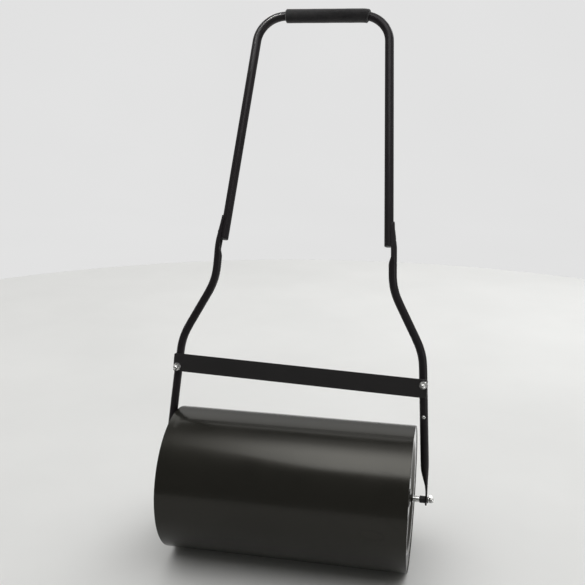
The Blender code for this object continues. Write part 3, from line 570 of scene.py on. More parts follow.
def sheet_wave(x, angle):
    """Depth of the slight unevenness that rolling leaves in the sheet. It dies out at the rims."""
    fade = 1.0 - (x / BARREL_HALF) ** 4
    slow = math.sin(2.0 * angle + 9.0 * x + 0.6) + 0.6 * math.sin(5.0 * angle - 17.0 * x)
    quick = 0.35 * math.sin(11.0 * angle + 31.0 * x + 1.3)
    return 0.055 * MM * fade * (slow + quick)


def wavy(x, radius):
    """Radius of the rolled sheet at x, as a function of the angle."""
    return lambda angle: radius - sheet_wave(x, angle)


def barrel_shape():
    """Rolled shell with rounded rims."""
    inner = BARREL_RADIUS - SHEET
    loop = [(-BARREL_HALF, inner), (BARREL_HALF, inner), (BARREL_HALF, BARREL_RADIUS)]
    loop += [(-BARREL_HALF, BARREL_RADIUS)]
    profile = rounded(loop, 0.6 * MM, 3, closed_loop=True)
    bands = 40
    reach = max(spot.x for spot in profile if spot.y > BARREL_RADIUS - 0.01 * MM)
    # Known fault: these rings belong between the outline's two outer corners. Where they are now, before its
    # start, they make the skin run along the outside of the barrel three times.
    between = [Vector((reach - 2.0 * reach * step / bands, BARREL_RADIUS)) for step in range(1, bands)]
    rings = []
    for x, radius in between + profile:
        rolled = abs(radius - BARREL_RADIUS) < 1e-6
        rings.append(turned_ring(x, wavy(x, radius) if rolled else radius, BARREL_SEGMENTS))
    return skin(rings, closed_loop=True)


def end_profile():
    """(x, radius) down the outer face of a pressed end, from its flange to the shaft's hole."""
    points = local_points("drum_end_right", AXLE_PLACE)
    radii = np.hypot(points[:, 1], points[:, 2])
    outline = {}
    for x, radius in zip(points[:, 0], radii):
        level = round(float(radius) / (0.2 * MM))
        outline[level] = max(outline.get(level, (-1.0, 0.0)), (float(x), float(radius)))
    steps = [outline[level] for level in sorted(outline, reverse=True)]
    flange = steps[0][1]
    start = (float(points[:, 0].min()), flange)
    face = [spot for spot in steps if spot[1] > flange - 0.1 * MM or spot[1] < flange - 1.7 * MM]
    return start, face


def end_shape():
    """Pressed end: the CAD face's outline with its corners eased, backed by the sheet's thickness."""
    start, face = end_profile()
    outer = rounded([start, *face], 4.0 * MM, 5)
    limit = start[1] - SHEET
    inner = [Vector((spot.x - SHEET, min(spot.y, limit))) for spot in outer]
    inner[0] = Vector((start[0], limit))
    return lathe(outer + inner[::-1], END_SEGMENTS, closed_loop=True)


def build_drum():
    piece("drum_barrel", moved(barrel_shape(), AXLE_PLACE), PAINT, "drum", "drum_shell")

    neck = Spindle("filler_neck", -X_AXIS)
    pipe = neck.radius - 2.0 * MM
    hole = moved(lathe([(-20.0 * MM, pipe), (30.0 * MM, pipe)], 64), neck.place)
    for name, side in SIDES:
        shape = moved(mirrored(end_shape(), side), AXLE_PLACE)
        holes = (hole,) if name == "left" else ()
        piece(f"drum_face_{name}", shape, PAINT, "drum", f"drum_end_{name}", holes=holes)

    flange = 2.2 * MM
    barrel = 8.0 * MM
    for name, side in SIDES:
        hub = Spindle(f"hub_{name}", X_AXIS * side)
        loop = stepped_loop(hub, flange, hub.radius, barrel)
        turned_piece(f"hub_collar_{name}", hub, loop, 0.9 * MM, PAINT, "drum", steps=4, segments=96)
        bead = weld_bead(hub.radius + 0.6 * MM, 4.2 * MM, 2.1 * MM, 30, 360)
        piece(f"hub_weld_{name}", moved(bead, hub.place), PAINT, "drum")


def build_filler():
    neck = Spindle("filler_neck", -X_AXIS)
    flange_foot = neck.length - 2.0 * MM
    pipe = neck.radius - 2.2 * MM
    loop = stepped_loop(neck, flange_foot, pipe, neck.radius)
    turned_piece("filler_collar", neck, loop, 0.6 * MM, PAINT, "drum", segments=96)
    bead = weld_bead(neck.radius + 0.4 * MM, 3.4 * MM, 1.6 * MM, 38, 380)
    bead_place = neck.place @ Matrix.Translation((flange_foot - 0.3 * MM, 0.0, 0.0))
    piece("filler_weld", moved(bead, bead_place), PAINT, "drum")

    seal = Spindle("plug_seal", -X_AXIS)
    loop = ring_loop(seal)
    turned_piece("filler_gasket", seal, loop, 0.5 * MM, RUBBER, "plug", steps=4, segments=96)
    build_plug(Spindle("filler_plug", -X_AXIS), seal.bore)


def build_plug(plug, bore):
    """Push-in plug: a stem with two sealing ribs, a knurled head with a recess, and a finger bar."""
    stem = bore - 0.35 * MM
    bar_height = 1.1 * MM
    top = plug.length - bar_height
    head = top - 2.8 * MM
    recess = 12.5 * MM
    profile = [(0.0, 0.0), (0.0, stem - 1.5 * MM), (1.5 * MM, stem)]
    for rib in (3.2 * MM, 5.8 * MM):
        profile += [(rib - 0.6 * MM, stem), (rib, stem + 0.22 * MM), (rib + 0.6 * MM, stem)]
    profile += [(head, stem), (head, plug.radius), (top, plug.radius), (top, recess)]
    profile += [(top - 1.2 * MM, recess - 1.5 * MM), (top - 1.2 * MM, 0.0)]
    notches = 36
    rings = []
    for x, radius in rounded(profile, 0.5 * MM, 3):
        on_rim = radius > plug.radius - 0.6 * MM and x > head
        rings.append(turned_ring(x, knurled(radius, notches) if on_rim else radius, notches * 6))
    body = skin(rings)
    bar_half = 0.8 * recess
    bar = finger_bar(top - 1.3 * MM, plug.length, bar_half, 2.5 * MM)
    piece("filler_stopper", moved(joined(body, bar), plug.place), PLASTIC, "plug", "filler_plug")


def knurled(radius, notches):
    """Radius of the plug's rim, as a function of the angle."""
    return lambda angle: radius - 0.45 * MM * max(0.0, math.cos(notches * angle)) ** 2


def finger_bar(foot, top, half_length, half_width):
    """Bar across the plug's recess, crowned along its top, with rounded ends."""
    rings = []
    for share, inset in ((0.0, 0.0), (0.55, 0.0), (0.8, 0.1), (0.94, 0.35), (1.0, 0.75)):
        height = foot + (top - foot) * share
        less = inset * half_width
        outline = stadium(half_width - less, half_length - less, 24)
        rings.append([Vector((height, u, v)) for u, v in outline])
    return skin(rings)


# ---------------- turned hardware

HARDWARE_SEGMENTS = 72
DOME_STEPS = 12
NUT_HEX_HEIGHT = 6.3 * MM
NUT_DOME_RADIUS = 5.7 * MM


def hexagon(flats, limit=math.inf):
    """Radius of a hexagon, trimmed to a limit, as a function of the angle."""
    sector = math.pi / 3.0
    return lambda angle: min(flats / 2.0 / math.cos((angle + sector / 2.0) % sector - sector / 2.0), limit)


def cap_nut(flats, hex_height, dome, length):
    """Chamfered hexagon with a domed cap, its seat at x = 0."""
    chamfer_radius = flats / 2.0 * 1.03
    bore = 4.3 * MM
    foot = 0.25 * MM

    def cone_cut(x, from_end):
        """The hexagon where a 30 degree cone trims its corners, `from_end` in from the face."""
        return turned_ring(x, hexagon(flats, chamfer_radius + from_end * 1.7), HARDWARE_SEGMENTS)

    def plain(x, radius):
        return turned_ring(x, radius, HARDWARE_SEGMENTS)

    rings = [plain(0.6 * MM, bore), plain(0.0, bore + 0.5 * MM)]
    depths = (0.0, 0.12, 0.25, 0.4, 0.6, 0.9)
    rings += [cone_cut(depth * MM, depth * MM) for depth in depths]
    rings += [cone_cut(hex_height - depth * MM, depth * MM) for depth in depths[::-1]]
    rings += [plain(hex_height, dome + 0.5 * MM), plain(hex_height, dome)]
    for step in range(DOME_STEPS + 1):
        turn = 0.5 * math.pi * step / DOME_STEPS
        height = hex_height + foot + (length - hex_height - foot) * math.sin(turn)
        rings.append(plain(height, dome * math.cos(turn)))
    return skin(rings)


def add_cap_nut(name, node, hint, body):
    nut = Spindle(node, hint)
    low, high = local_box(node, nut.place)
    wide, tall = high.y - low.y, high.z - low.z
    turned = Matrix.Rotation(math.pi / 2.0 if wide < tall else 0.0, 4, "X")
    shape = cap_nut(min(wide, tall), NUT_HEX_HEIGHT, NUT_DOME_RADIUS, nut.length)
    piece(name, moved(shape, nut.place @ turned), ZINC, body, node)


def add_washer(name, node, hint, body):
    washer = Spindle(node, hint)
    turned_piece(name, washer, ring_loop(washer), 0.35 * MM, ZINC, body)


def sunk_head(spindle):
    """(x, radius) points of a countersunk head."""
    edge = 0.25 * MM
    return [(spindle.length - edge, spindle.radius), (spindle.length, spindle.radius - edge)]


def round_head(spindle, height):
    """(x, radius) points of a button head, up to its socket."""
    seat = spindle.length - height
    made = [(seat, spindle.radius - 0.3 * MM)]
    for step in range(DOME_STEPS - 2):
        turn = 0.5 * math.pi * step / DOME_STEPS
        made.append((seat + height * (0.22 + 0.78 * math.sin(turn)), spindle.radius * math.cos(turn) ** 0.8))
    return made


def add_screw(name, spindle, look, head, head_height, shank, flats, depth):
    """Screw with its shank's tip at x = 0. Its head has a hexagon socket, `flats` across and `depth` deep."""
    edge = 0.5 * MM
    profile = [(0.0, 0.0), (0.0, shank - edge), (edge, shank), (spindle.length - head_height, shank), *head]
    rings = [turned_ring(x, radius, HARDWARE_SEGMENTS) for x, radius in profile]
    face = profile[-1][0]
    for x, across in ((face, flats), (face - depth, flats - 0.1 * MM)):
        rings.append(turned_ring(x, hexagon(across), HARDWARE_SEGMENTS))
    rings.append([Vector((face - depth - 0.3 * MM, 0.0, 0.0))])
    piece(name, moved(skin(rings), spindle.place), look, "frame", spindle.node)


def build_axle():
    shaft = Spindle("axle_shaft", X_AXIS)
    shoulder = AXLE.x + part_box("axle_bush_right")[0].x - GAP
    tip = float(local_points("axle_shaft", AXLE_PLACE)[:, 0].max())
    journal = 4.0 * MM
    half = [(tip, 0.0), (tip, journal - 0.8 * MM), (tip - 0.8 * MM, journal), (shoulder, journal)]
    half += [(shoulder, shaft.radius - 0.5 * MM), (shoulder - 0.5 * MM, shaft.radius)]
    profile = half + [(-x, radius) for x, radius in half[::-1]]
    shape = lathe(rounded(profile, 0.25 * MM, 2), HARDWARE_SEGMENTS)
    piece("axle_rod", moved(shape, AXLE_PLACE), ZINC, "drum", "axle_shaft")
    for name, side in SIDES:
        add_washer(f"axle_shim_{name}", f"axle_washer_{name}", X_AXIS * side, "drum")
        add_cap_nut(f"axle_cap_nut_{name}", f"axle_nut_{name}", X_AXIS * side, "drum")


def build_bushes():
    foot_thickness = 3.6 * MM
    barrel = 5.5 * MM
    for name, side in SIDES:
        bush = Spindle(f"axle_bush_{name}", X_AXIS * side)
        foot = local_box(f"arm_{name}", ARM_PLACE)
        foot_inner = abs(foot[1 if side > 0 else 0].x) - foot_thickness - GAP
        flange = foot_inner - abs(bush.place.translation.x)
        loop = stepped_loop(bush, flange, bush.radius, barrel)
        turned_piece(f"foot_bush_{name}", bush, loop, 0.5 * MM, NYLON, "frame")


# ---------------- the arms

ARM_POINTS = 72


def eased(values, reach):
    """Moving average that keeps straight runs straight, also at both ends."""
    padded = np.pad(values, reach, mode="reflect", reflect_type="odd")
    return np.convolve(padded, np.ones(2 * reach + 1) / (2 * reach + 1), mode="valid")


def arm_section(x, w, slope, thick, broad):
    lean = math.atan(slope)
    made = []
    for u, v in stadium(thick, broad, ARM_POINTS):
        made.append(Vector((x + u * math.cos(lean), v, w - u * math.sin(lean))))
    return made


def tube_rings(node, top):
    """The arm up to a height, over slices of the CAD arm: its pressed foot and its tube, bent twice."""
    slices = Slices(node, ARM_PLACE)
    heights = np.linspace(0.4 * MM, top, 130)
    centres = []
    halves = []
    for height in heights:
        across = slices.at(height)[:, 0]
        centres.append((across.max() + across.min()) / 2.0)
        halves.append((across.max() - across.min()) / 2.0)
    centres = eased(np.array(centres), 3)
    slopes = np.gradient(centres, heights)
    halves = eased(np.array(halves), 2) * np.cos(np.arctan(slopes))
    tube = float(np.median(halves))

    def broad_of(thick):
        return thick + math.pi / 2.0 * max(0.0, tube - thick)

    x, w, slope, thick = centres[0], heights[0], slopes[0], min(halves[0], tube)
    broad = broad_of(thick)
    rings = []
    for degrees in range(80, 0, -10):
        turn = math.radians(degrees)
        down = -broad * math.sin(turn)
        width = max(broad * math.cos(turn), thick * 1.001)
        squeeze = thick * (1.0 if degrees < 65 else 0.8)
        rings.append(arm_section(x + slope * down, w + down, slope, squeeze, width))
    for x, w, slope, thick in zip(centres, heights, slopes, halves):
        thick = min(thick, tube)
        rings.append(arm_section(x, w, slope, thick, broad_of(thick)))
    return (centres[-1], heights[-1], slopes[-1]), tube, rings


def resampled(path, count):
    """Points spaced evenly along an open path, both ends kept."""
    path = np.array(path)
    runs = np.concatenate([[0.0], np.cumsum(np.hypot(*np.diff(path, axis=0).T))])
    at = np.linspace(0.0, runs[-1], count)
    return np.column_stack([np.interp(at, runs, path[:, 0]), np.interp(at, runs, path[:, 1])])


def crescent(inner, thickness, angle):
    """Points (u, v) of a tube dented by the leg: u out from the leg's centreline, v to the back."""
    lip = 0.7 * MM
    start_u = (inner + 2.0 * lip) * math.cos(angle)
    start_v = (inner + 2.0 * lip) * math.sin(angle)
    path = []
    for turn in np.linspace(0.0, math.pi / 2.0, 40):
        u = start_u + (inner + thickness - start_u) * math.cos(turn)
        path.append((u, start_v * math.sin(turn)))
    for turn in np.linspace(0.0, math.pi, 14)[1:]:
        radius = inner + lip + lip * math.cos(turn)
        past = angle + lip * math.sin(turn) / radius
        path.append((radius * math.cos(past), radius * math.sin(past)))
    for past in np.linspace(angle, 0.0, 30)[1:]:
        path.append((inner * math.cos(past), inner * math.sin(past)))
    half = [tuple(spot) for spot in resampled(path, ARM_POINTS // 2 + 1)]
    return half + [(u, -v) for u, v in half[-2:0:-1]]


def smooth_step(share):
    return share * share * (3.0 - 2.0 * share)


def saddle_rings(handle, place, line, tube, kink, tip):
    """The arm's top in the handle's frame: round tube, dented by the leg, thinned, rounded off.

    The place carries the handle's frame into the arms', and the line is the tube's (x, w, slope).
    """
    inner = handle.radius + GAP
    full = 6.7 * MM
    thin = 2.4 * MM
    wide = math.radians(60.0)
    tip_length = 10.0 * MM
    round_end = kink - 24.5 * MM
    dented = kink + 12.3 * MM
    tip_centre = tip - tip_length * math.sin(math.radians(80.0))
    back = place.inverted()

    def ring(s, thickness, angle=wide):
        made = []
        for u, v in crescent(inner, thickness, angle):
            spot = handle.leg_spot(1, s) + handle.out(1) * u
            spot.y = v
            made.append(spot)
        return made

    rings = []
    steps = 24
    for step in range(steps + 1):
        share = step / steps
        s = round_end + (dented - round_end) * share
        w = (place @ Vector((0.0, 0.0, s))).z
        x = line[0] + line[2] * (w - line[1])
        tube_ring = [back @ p for p in arm_section(x, w, line[2], tube, tube)]
        rings.append([a.lerp(b, smooth_step(share)) for a, b in zip(tube_ring, ring(s, full))])
    for step in range(1, steps + 1):
        share = step / steps
        rings.append(ring(dented + (tip_centre - dented) * share, full + (thin - full) * share))
    for degrees in range(8, 88, 8):
        turn = math.radians(degrees)
        thickness = thin * (0.65 + 0.35 * math.cos(turn))
        s = tip_centre + tip_length * math.sin(turn)
        rings.append(ring(s, thickness, wide * math.cos(turn)))
    return rings


def screw_hole():
    """Countersunk hole for a joint screw, X out from the head's top."""
    bore = 2.8 * MM
    mouth = 4.9 * MM
    return lathe([(-9.0 * MM, bore), (-2.1 * MM, bore), (-0.3 * MM, mouth), (4.0 * MM, mouth)], 48)


def build_arms():
    handle = Handle()
    to_arms = ARM_PLACE.inverted() @ HANDLE_PLACE
    up = to_arms.to_3x3() @ Vector((0.0, 0.0, 1.0))
    kink = -to_arms.translation.y / up.y
    top = to_arms.translation.z + up.z * kink - 26.0 * MM
    line, tube, lower = tube_rings("arm_right", top)
    tip = local_box("arm_right", HANDLE_PLACE)[1].z
    upper = saddle_rings(handle, to_arms, line, tube, kink, tip)
    rings = [[ARM_PLACE @ p for p in ring] for ring in lower]
    rings += [[HANDLE_PLACE @ p for p in ring] for ring in upper]
    shape = skin(rings)
    reach = 30.0 * MM
    bush_hole = 5.8 * MM
    for name, side in SIDES:
        bush = Spindle(f"axle_bush_{name}", X_AXIS * side)
        holes = [moved(lathe([(-reach, bush_hole), (reach, bush_hole)], 48), bush.place)]
        outward = HANDLE_PLACE.to_3x3() @ handle.out(side)
        for number in (1, 2):
            screw = Spindle(f"joint_screw_{name}_{number}", outward, exact=True)
            holes.append(moved(screw_hole(), screw.place @ Matrix.Translation((screw.length, 0.0, 0.0))))
        piece(f"arm_tube_{name}", mirrored(shape, side), COAT, "frame", f"arm_{name}", holes=holes)
    screw = Spindle("arm_screw", (0.0, -1.0, 0.0))
    height = 2.3 * MM
    sizes = {"shank": 2.0 * MM, "flats": 2.6 * MM, "depth": 1.1 * MM}
    add_screw("arm_small_screw", screw, ZINC, round_head(screw, height), height, **sizes)


# ---------------- the brace


def tilt_in_plane(node, place):
    """Angle by which a flat bar is turned in its own plane: the one that makes it least tall."""
    points = local_points(node, place)
    angles = np.radians(np.linspace(-4.0, 4.0, 801))
    tall = [np.ptp(points[:, 2] * math.cos(a) - points[:, 0] * math.sin(a)) for a in angles]
    return float(angles[int(np.argmin(tall))])


def rounded_rectangle(half_long, half_high, radius, count):
    made = []
    corners = ((1, 1, 0.0), (-1, 1, 90.0), (-1, -1, 180.0), (1, -1, 270.0))
    for sx, sz, start in corners:
        for step in range(count + 1):
            turn = math.radians(start + 90.0 * step / count)
            x = sx * (half_long - radius) + radius * math.cos(turn)
            made.append((x, sz * (half_high - radius) + radius * math.sin(turn)))
    return made


def brace_shape(half_long, half_thick, half_high):
    """Flat bar with rounded corners, its rims eased by rolling."""
    corner = 4.0 * MM
    rim = 0.5 * MM
    rings = []
    levels = []
    for degrees in (90, 70, 50, 30, 10):
        turn = math.radians(degrees)
        levels.append((-half_thick + rim - rim * math.sin(turn), rim - rim * math.cos(turn)))
    levels += [(-y, inset) for y, inset in levels[::-1]]
    for y, inset in levels:
        outline = rounded_rectangle(half_long - inset, half_high - inset, corner - inset, 8)
        rings.append([Vector((x, y, z)) for x, z in outline])
    inner = rounded_rectangle(half_long - 1.6 * rim, half_high - 1.6 * rim, corner - 1.6 * rim, 8)
    rings.insert(0, [Vector((x, -half_thick, z)) for x, z in inner])
    rings.append([Vector((x, half_thick, z)) for x, z in inner])
    return skin(rings)


def build_brace():
    tilt = tilt_in_plane("cross_brace", ARM_PLACE)
    turned = ARM_PLACE @ Matrix.Rotation(-tilt, 4, "Y")
    low, high = local_box("cross_brace", turned)
    place = turned @ Matrix.Translation((low + high) / 2.0)
    half = (high - low) / 2.0
    piece("brace_bar", moved(brace_shape(half.x, half.y, half.z), place), BRACE_COAT_PAINTED_DARK, "frame", "cross_brace")
    forward = -thin_direction("cross_brace")
    height = 4.2 * MM
    sizes = {"shank": 4.0 * MM, "flats": 5.0 * MM, "depth": 2.4 * MM}
    for name, _ in SIDES:
        bolt = Spindle(f"brace_bolt_{name}", -forward)
        add_screw(f"brace_screw_{name}", bolt, ZINC, round_head(bolt, height), height, **sizes)
        add_washer(f"brace_shim_{name}", f"brace_washer_{name}", forward, "frame")
        add_cap_nut(f"brace_cap_nut_{name}", f"brace_nut_{name}", forward, "frame")


# ---------------- the handle

CORNER_RADIUS = 0.0625


class Handle:
    """The U-shaped handle's centreline, in the handle's own plane."""

    def __init__(self):
        low, high = local_box("upper_handle", HANDLE_PLACE)
        self.radius = (high.y - low.y) / 2.0
        self.top = high.z - self.radius
        self.end = low.z + 0.6 * MM
        slices = Slices("upper_handle", HANDLE_PLACE)
        lower, upper = (low.z + (high.z - low.z) * share for share in (0.3, 0.6))
        self.slope = (self.leg_at(slices, upper) - self.leg_at(slices, lower)) / (upper - lower)
        self.top_x = self.leg_at(slices, lower) + self.slope * (self.top - lower)
        self.half_turn = (math.pi / 2.0 - math.atan(-self.slope)) / 2.0
        self.straight = self.top_x - CORNER_RADIUS * math.tan(self.half_turn)

    def leg_at(self, slices, height):
        across = slices.at(height)[:, 0]
        right = across[across > 0.0]
        return float(right.max() + right.min()) / 2.0

    def leg_x(self, s):
        return self.top_x + self.slope * (s - self.top)

    def leg_spot(self, side, s):
        return Vector((side * self.leg_x(s), 0.0, s))

    def down(self, side):
        """Unit direction down a leg, in the handle's frame."""
        return Vector((-side * self.slope, 0.0, -1.0)).normalized()

    def out(self, side):
        """Unit direction away from the other leg, square to this one, in the handle's frame."""
        return Vector((side, 0.0, -self.slope)).normalized()

    def path(self):
        """(x, s, heading x, heading s) from the left leg's end over the bar to the right leg's end."""
        right = []
        steps = 24
        sweep = 2.0 * self.half_turn
        for step in range(steps + 1):
            turn = sweep * step / steps
            x = self.straight + CORNER_RADIUS * math.sin(turn)
            s = self.top - CORNER_RADIUS * (1.0 - math.cos(turn))
            right.append((x, s, math.cos(turn), -math.sin(turn)))
        heading = self.down(1)
        first_s = right[-1][1]
        for step in range(1, 41):
            s = first_s + (self.end - first_s) * step / 40
            right.append((self.leg_x(s), s, heading.x, heading.z))
        left = [(-x, s, hx, -hs) for x, s, hx, hs in right[::-1]]
        return left + right

    def bar_spot(self, x):
        """The centreline at x, on the top bar or just round its corners."""
        past = max(0.0, abs(x) - self.straight)
        turn = math.asin(past / CORNER_RADIUS)
        drop = CORNER_RADIUS * (1.0 - math.cos(turn))
        return x, self.top - drop, math.cos(turn), -math.copysign(math.sin(turn), x)


def round_section(x, s, heading_x, heading_s, radius, count):
    centre = Vector((x, 0.0, s))
    across = Vector((-heading_s, 0.0, heading_x)) * radius
    made = []
    for angle in round_angles(count):
        made.append(centre + across * math.cos(angle) + Vector((0.0, radius * math.sin(angle), 0.0)))
    return made


def build_handle():
    handle = Handle()
    wall = 1.2 * MM
    outside = [round_section(*spot, handle.radius, 40) for spot in handle.path()]
    inside = [round_section(*spot, handle.radius - wall, 40) for spot in handle.path()]
    shape = moved(skin(outside + inside[::-1], closed_loop=True), HANDLE_PLACE)
    piece("handle_tube", shape, COAT, "frame", "upper_handle")

    build_grip(handle)
    turn = HANDLE_PLACE.to_3x3()
    for name, side in SIDES:
        build_leg_plug(name, turn @ handle.down(side), handle.radius - 1.5 * MM)
        for number in (1, 2):
            build_joint_screw(name, turn @ handle.out(side), number)


def build_leg_plug(name, down, skirt):
    cap = Spindle(f"leg_cap_{name}", down)
    head = cap.length - 1.9 * MM
    bevel = 0.6 * MM
    profile = [(0.0, 0.0), (0.0, skirt - bevel), (bevel, skirt), (head, skirt), (head, cap.radius)]
    profile += [(cap.length - 0.7 * MM, cap.radius), (cap.length, cap.radius - 1.2 * MM)]
    profile.append((cap.length, 0.0))
    shape = lathe(rounded(profile, 0.5 * MM, 3), 72)
    piece(f"leg_plug_{name}", moved(shape, cap.place), NYLON, "frame", cap.node)


def build_joint_screw(name, outward, number):
    screw = Spindle(f"joint_screw_{name}_{number}", outward, exact=True)
    screw_name = f"joint_flush_screw_{name}_{number}"
    sizes = {"head_height": 1.8 * MM, "shank": 2.5 * MM, "flats": 3.0 * MM, "depth": 1.3 * MM}
    add_screw(screw_name, screw, OXIDE, sunk_head(screw), **sizes)

    insert = Spindle(f"joint_nut_{name}_{number}", outward, exact=True)
    floor = 1.0 * MM
    bore = 2.8 * MM
    edge = 0.5 * MM
    profile = [(floor, 0.0), (floor, bore), (insert.length, bore), (insert.length, insert.radius)]
    profile += [(edge, insert.radius), (0.0, insert.radius - edge), (0.0, 0.0)]
    shape = lathe(rounded(profile, 0.3 * MM, 3), 60)
    piece(f"joint_insert_{name}_{number}", moved(shape, insert.place), ZINC, "frame", insert.node)


def build_grip(handle):
    """Foam sleeve with soft ends and the slight swells of foam pushed along a bar."""
    low, high = local_box("foam_grip", HANDLE_PLACE)
    outer = (high.y - low.y) / 2.0
    bore = handle.radius + GAP
    length = high.x - low.x
    lip = 2.6 * MM
    stations = 90
    segments = 64
    rings = []
    inside = []
    for step in range(stations + 1):
        run = length * step / stations
        edge = min(run, length - run)
        drop = 0.0
        if edge < lip:
            drop = lip - math.sqrt(lip * lip - (lip - edge) ** 2)
        x = low.x + run
        swell = 0.06 * MM * math.sin(run * 95.0 + 0.4) + 0.03 * MM * math.sin(run * 230.0)
        spot = handle.bar_spot(x)
        radius = outer - 0.15 * MM + swell - drop
        ring = []
        for angle, point in zip(round_angles(segments), round_section(*spot, radius, segments)):
            ripple = 0.04 * MM * math.sin(3.0 * angle + run * 60.0) * math.sin(5.0 * angle - run * 33.0)
            centre = Vector((spot[0], 0.0, spot[1]))
            ring.append(point + (point - centre).normalized() * ripple)
        rings.append(ring)
        inside.append(round_section(*spot, bore, segments))
    shape = skin(rings + inside[::-1], closed_loop=True)
    piece("grip_sleeve", moved(shape, HANDLE_PLACE), FOAM, "frame", "foam_grip")


# ---------------- floor, light and camera


PALE = 0.77
CAMERA_SPOT = (0.3225, -1.5595, 1.0249)
CAMERA_PITCH = 15.97
CAMERA_YAW = 11.64


def floor_look():
    look = Look("pale_floor", "", Specular_IOR_Level=0.0)
    look.tone((0.78, 0.78, 0.77), (0.82, 0.82, 0.81), 2.0)
    look.roughness(0.75, 0.85, 30.0)
    look.bump(look.noise(600.0, 2.0), 0.0001, 0.3)
    return look.done()


def glow(name, level, *spans):
    """Emission whose strength is the product of ramps along axes: (axis, start, end, stops)."""
    material = bpy.data.materials.new(name)
    material.use_nodes = True
    tree = material.node_tree
    tree.nodes.remove(tree.nodes["Principled BSDF"])
    coords = add(tree, "ShaderNodeTexCoord").outputs["Object"]
    parts = add(tree, "ShaderNodeSeparateXYZ", {"Vector": coords}).outputs
    drift = add(tree, "ShaderNodeTexNoise", {"Vector": coords, "Scale": 0.8}).outputs["Fac"]
    strength = ramp(tree, drift, (0.3, 0.98), (0.7, 1.0))
    for axis, start, end, stops in spans:
        share = spanned(tree, parts[axis], start, end)
        shade = ramp(tree, share, *[((at - start) / (end - start), lit) for at, lit in stops])
        strength = maths(tree, "MULTIPLY", strength, shade)
    strength = maths(tree, "MULTIPLY", strength, level)
    emission = add(tree, "ShaderNodeEmission", {"Strength": strength})
    tree.links.new(emission.outputs["Emission"], tree.nodes["Material Output"].inputs["Surface"])
    return material


def flag_look():
    """Grey card that fades into the floor's tone towards the drum."""
    look = Look("grey_card", "", Roughness=0.9)
    depth = add(look.tree, "ShaderNodeSeparateXYZ", {"Vector": look.coords}).outputs["Y"]
    drift = ramp(look.tree, look.noise(3.0), (0.3, 0.40), (0.7, 0.44))
    look.colour = blended(look.tree, spanned(look.tree, depth, -0.25, 0.1), drift, (0.8, 0.8, 0.79))
    return look.done()


def flat_card(name, outline, height, material):
    points = [Vector((x, y, height)) for x, y in outline]
    return link_mesh(name, (points, [tuple(range(len(points)))]), material)


def build_stage():
    look = floor_look()
    floor_radius = 2.6
    rings = [[Vector((0.0, 0.0, 0.0))]]
    for share in (0.25, 0.5, 0.75, 1.0):
        rings.append(flat_ring(floor_radius * share, 0.0))
    floor = link_mesh("studio_floor", skin(rings, caps=False), look.material)

    wall_radius = 5.6
    curve = 1.6
    rings = [flat_ring(floor_radius, 0.0), flat_ring(wall_radius - curve, 0.0)]
    for step in range(1, 13):
        turn = math.pi / 2.0 * step / 12
        rings.append(flat_ring(wall_radius - curve + curve * math.sin(turn), curve * (1.0 - math.cos(turn))))
    rings.append(flat_ring(wall_radius, 5.0))
    backdrop = link_mesh("studio_backdrop", skin(rings, caps=False), glow("pale_backdrop", PALE))
    backdrop.visible_glossy = False

    outline = ((-2.2, -2.4), (2.2, -2.4), (2.2, 0.1), (-2.2, 0.1))
    flag = flat_card("studio_flag", outline, 1.0 * MM, flag_look().material)
    flag.visible_camera = False

    across = (0, -1.3, 1.3, ((-1.05, 0.0), (-0.68, 0.45), (-0.5, 0.76), (-0.3, 1.0), (1.0, 1.0), (1.25, 0.0)))
    front = ((-1.55, 0.0), (-1.28, 0.75), (-1.15, 1.0))
    depth = (1, -1.6, 1.4, (*front, (-0.2, 1.0), (0.1, 0.72), (0.5, 0.25), (1.3, 0.0)))
    outline = ((-0.3, -1.55), (1.3, -1.55), (1.3, 1.4), (-1.05, 1.4), (-1.05, -0.25), (-0.4, -1.2))
    panel = flat_card("studio_panel", outline, 2.4, glow("soft_panel", 2.85, across, depth))
    panel.visible_camera = False
    outline = ((0.29, 0.05), (1.3, 0.05), (1.3, 1.4), (0.29, 1.4))
    card = flat_card("studio_card", outline, 2.0 * MM, glow("white_card", 1.5))
    card.visible_camera = False
    for screen in (backdrop, flag, panel, card):
        screen.visible_diffuse = False
        screen.visible_transmission = False
        screen.visible_shadow = False


def flat_ring(radius, height):
    angles = round_angles(96)
    return [Vector((radius * math.cos(angle), radius * math.sin(angle), height)) for angle in angles]


def add_light(name, kind, power, location, facing=None, **settings):
    """A light that shines straight down unless it is given a direction."""
    data = bpy.data.lights.new(name, kind)
    data.energy = power
    for key, value in settings.items():
        setattr(data, key, value)
    made = bpy.data.objects.new(name, data)
    made.location = location
    if facing:
        made.rotation_euler = facing.to_track_quat("-Z", "Y").to_euler()
    bpy.context.scene.collection.objects.link(made)
    return made


def add_panel(name, power, location, target, width, height, **settings):
    """A rectangular lamp that faces a target."""
    shape = {"shape": "RECTANGLE", "size": width, "size_y": height}
    return add_light(name, "AREA", power, location, Vector(target) - Vector(location), **shape, **settings)


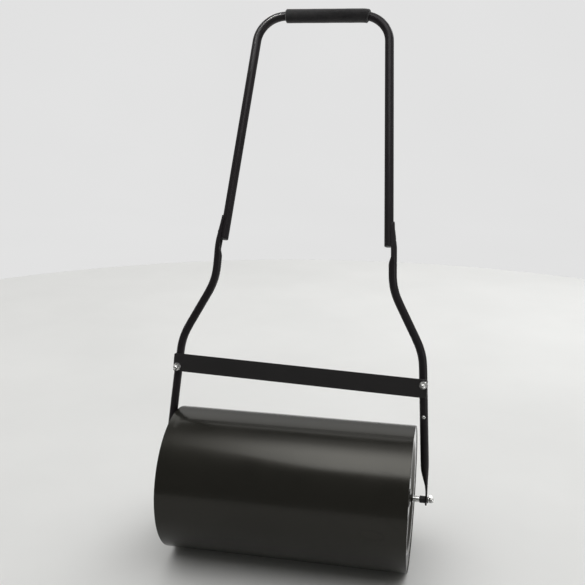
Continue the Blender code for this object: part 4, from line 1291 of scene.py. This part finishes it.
def build_sparkle():
    """A narrow spotlight that puts a highlight on the front of the handle's left bend."""
    handle = Handle()
    turn = 0.45
    x = -handle.straight - CORNER_RADIUS * math.sin(turn)
    s = handle.top - CORNER_RADIUS * (1.0 - math.cos(turn))
    outward = Vector((-math.sin(turn), 0.0, math.cos(turn)))
    normal = (HANDLE_PLACE.to_3x3() @ (0.1 * outward + Vector((0.0, -1.0, 0.0)))).normalized()
    spot = HANDLE_PLACE @ Vector((x, 0.0, s)) + normal * handle.radius
    view = (Vector(CAMERA_SPOT) - spot).normalized()
    toward = 2.0 * normal.dot(view) * normal - view
    beam = {"spot_size": math.radians(7.0), "spot_blend": 0.5, "shadow_soft_size": 0.11}
    lamp = add_light("bend_sparkle", "SPOT", 190.0, spot + toward * 0.9, -toward, **beam)
    lamp.visible_diffuse = False


def build_world():
    """A pale room: dim in front, brighter behind and overhead."""
    world = bpy.data.worlds.new("studio")
    bpy.context.scene.world = world
    world.use_nodes = True
    tree = world.node_tree
    direction = add(tree, "ShaderNodeTexCoord").outputs["Generated"]
    parts = add(tree, "ShaderNodeSeparateXYZ", {"Vector": direction}).outputs
    back = spanned(tree, parts["Y"], -0.5, 0.5, interpolation_type="SMOOTHSTEP")
    rise = spanned(tree, parts["Z"], 0.05, 0.65, interpolation_type="SMOOTHSTEP")
    up = maths(tree, "MULTIPLY", rise, back)
    level = blended(tree, back, (0.155, 0.155, 0.148), (0.26, 0.26, 0.255))
    level = blended(tree, up, level, (0.76, 0.76, 0.75))
    tree.links.new(level, tree.nodes["Background"].inputs["Color"])
    tree.nodes["Background"].inputs["Strength"].default_value = 1.0


def build_light():
    add_panel("back_rim", 12.0, (1.1, 2.2, 1.9), AXLE, 1.2, 0.8, color=(0.98, 0.99, 1.0))
    side = add_panel("right_strip", 6.0, (2.3, -1.0, 0.9), (0.2, 0.1, 0.6), 0.5, 1.0)
    side.visible_diffuse = False
    build_sparkle()
    fill = add_light("overhead_fill", "SUN", 1.3, (0.0, 0.0, 3.0), angle=math.radians(80.0))
    fill.visible_glossy = False


def build_camera():
    data = bpy.data.cameras.new("camera")
    data.lens = 52.06
    data.sensor_width = 36.0
    made = bpy.data.objects.new("camera", data)
    made.location = CAMERA_SPOT
    made.rotation_euler = (math.radians(90.0 - CAMERA_PITCH), 0.0, math.radians(CAMERA_YAW))
    bpy.context.scene.collection.objects.link(made)
    bpy.context.scene.camera = made
    bpy.context.scene.view_settings.view_transform = "Standard"


build_drum()
build_filler()
build_axle()
build_bushes()
build_arms()
build_brace()
build_handle()
build_stage()
build_world()
build_light()
build_camera()
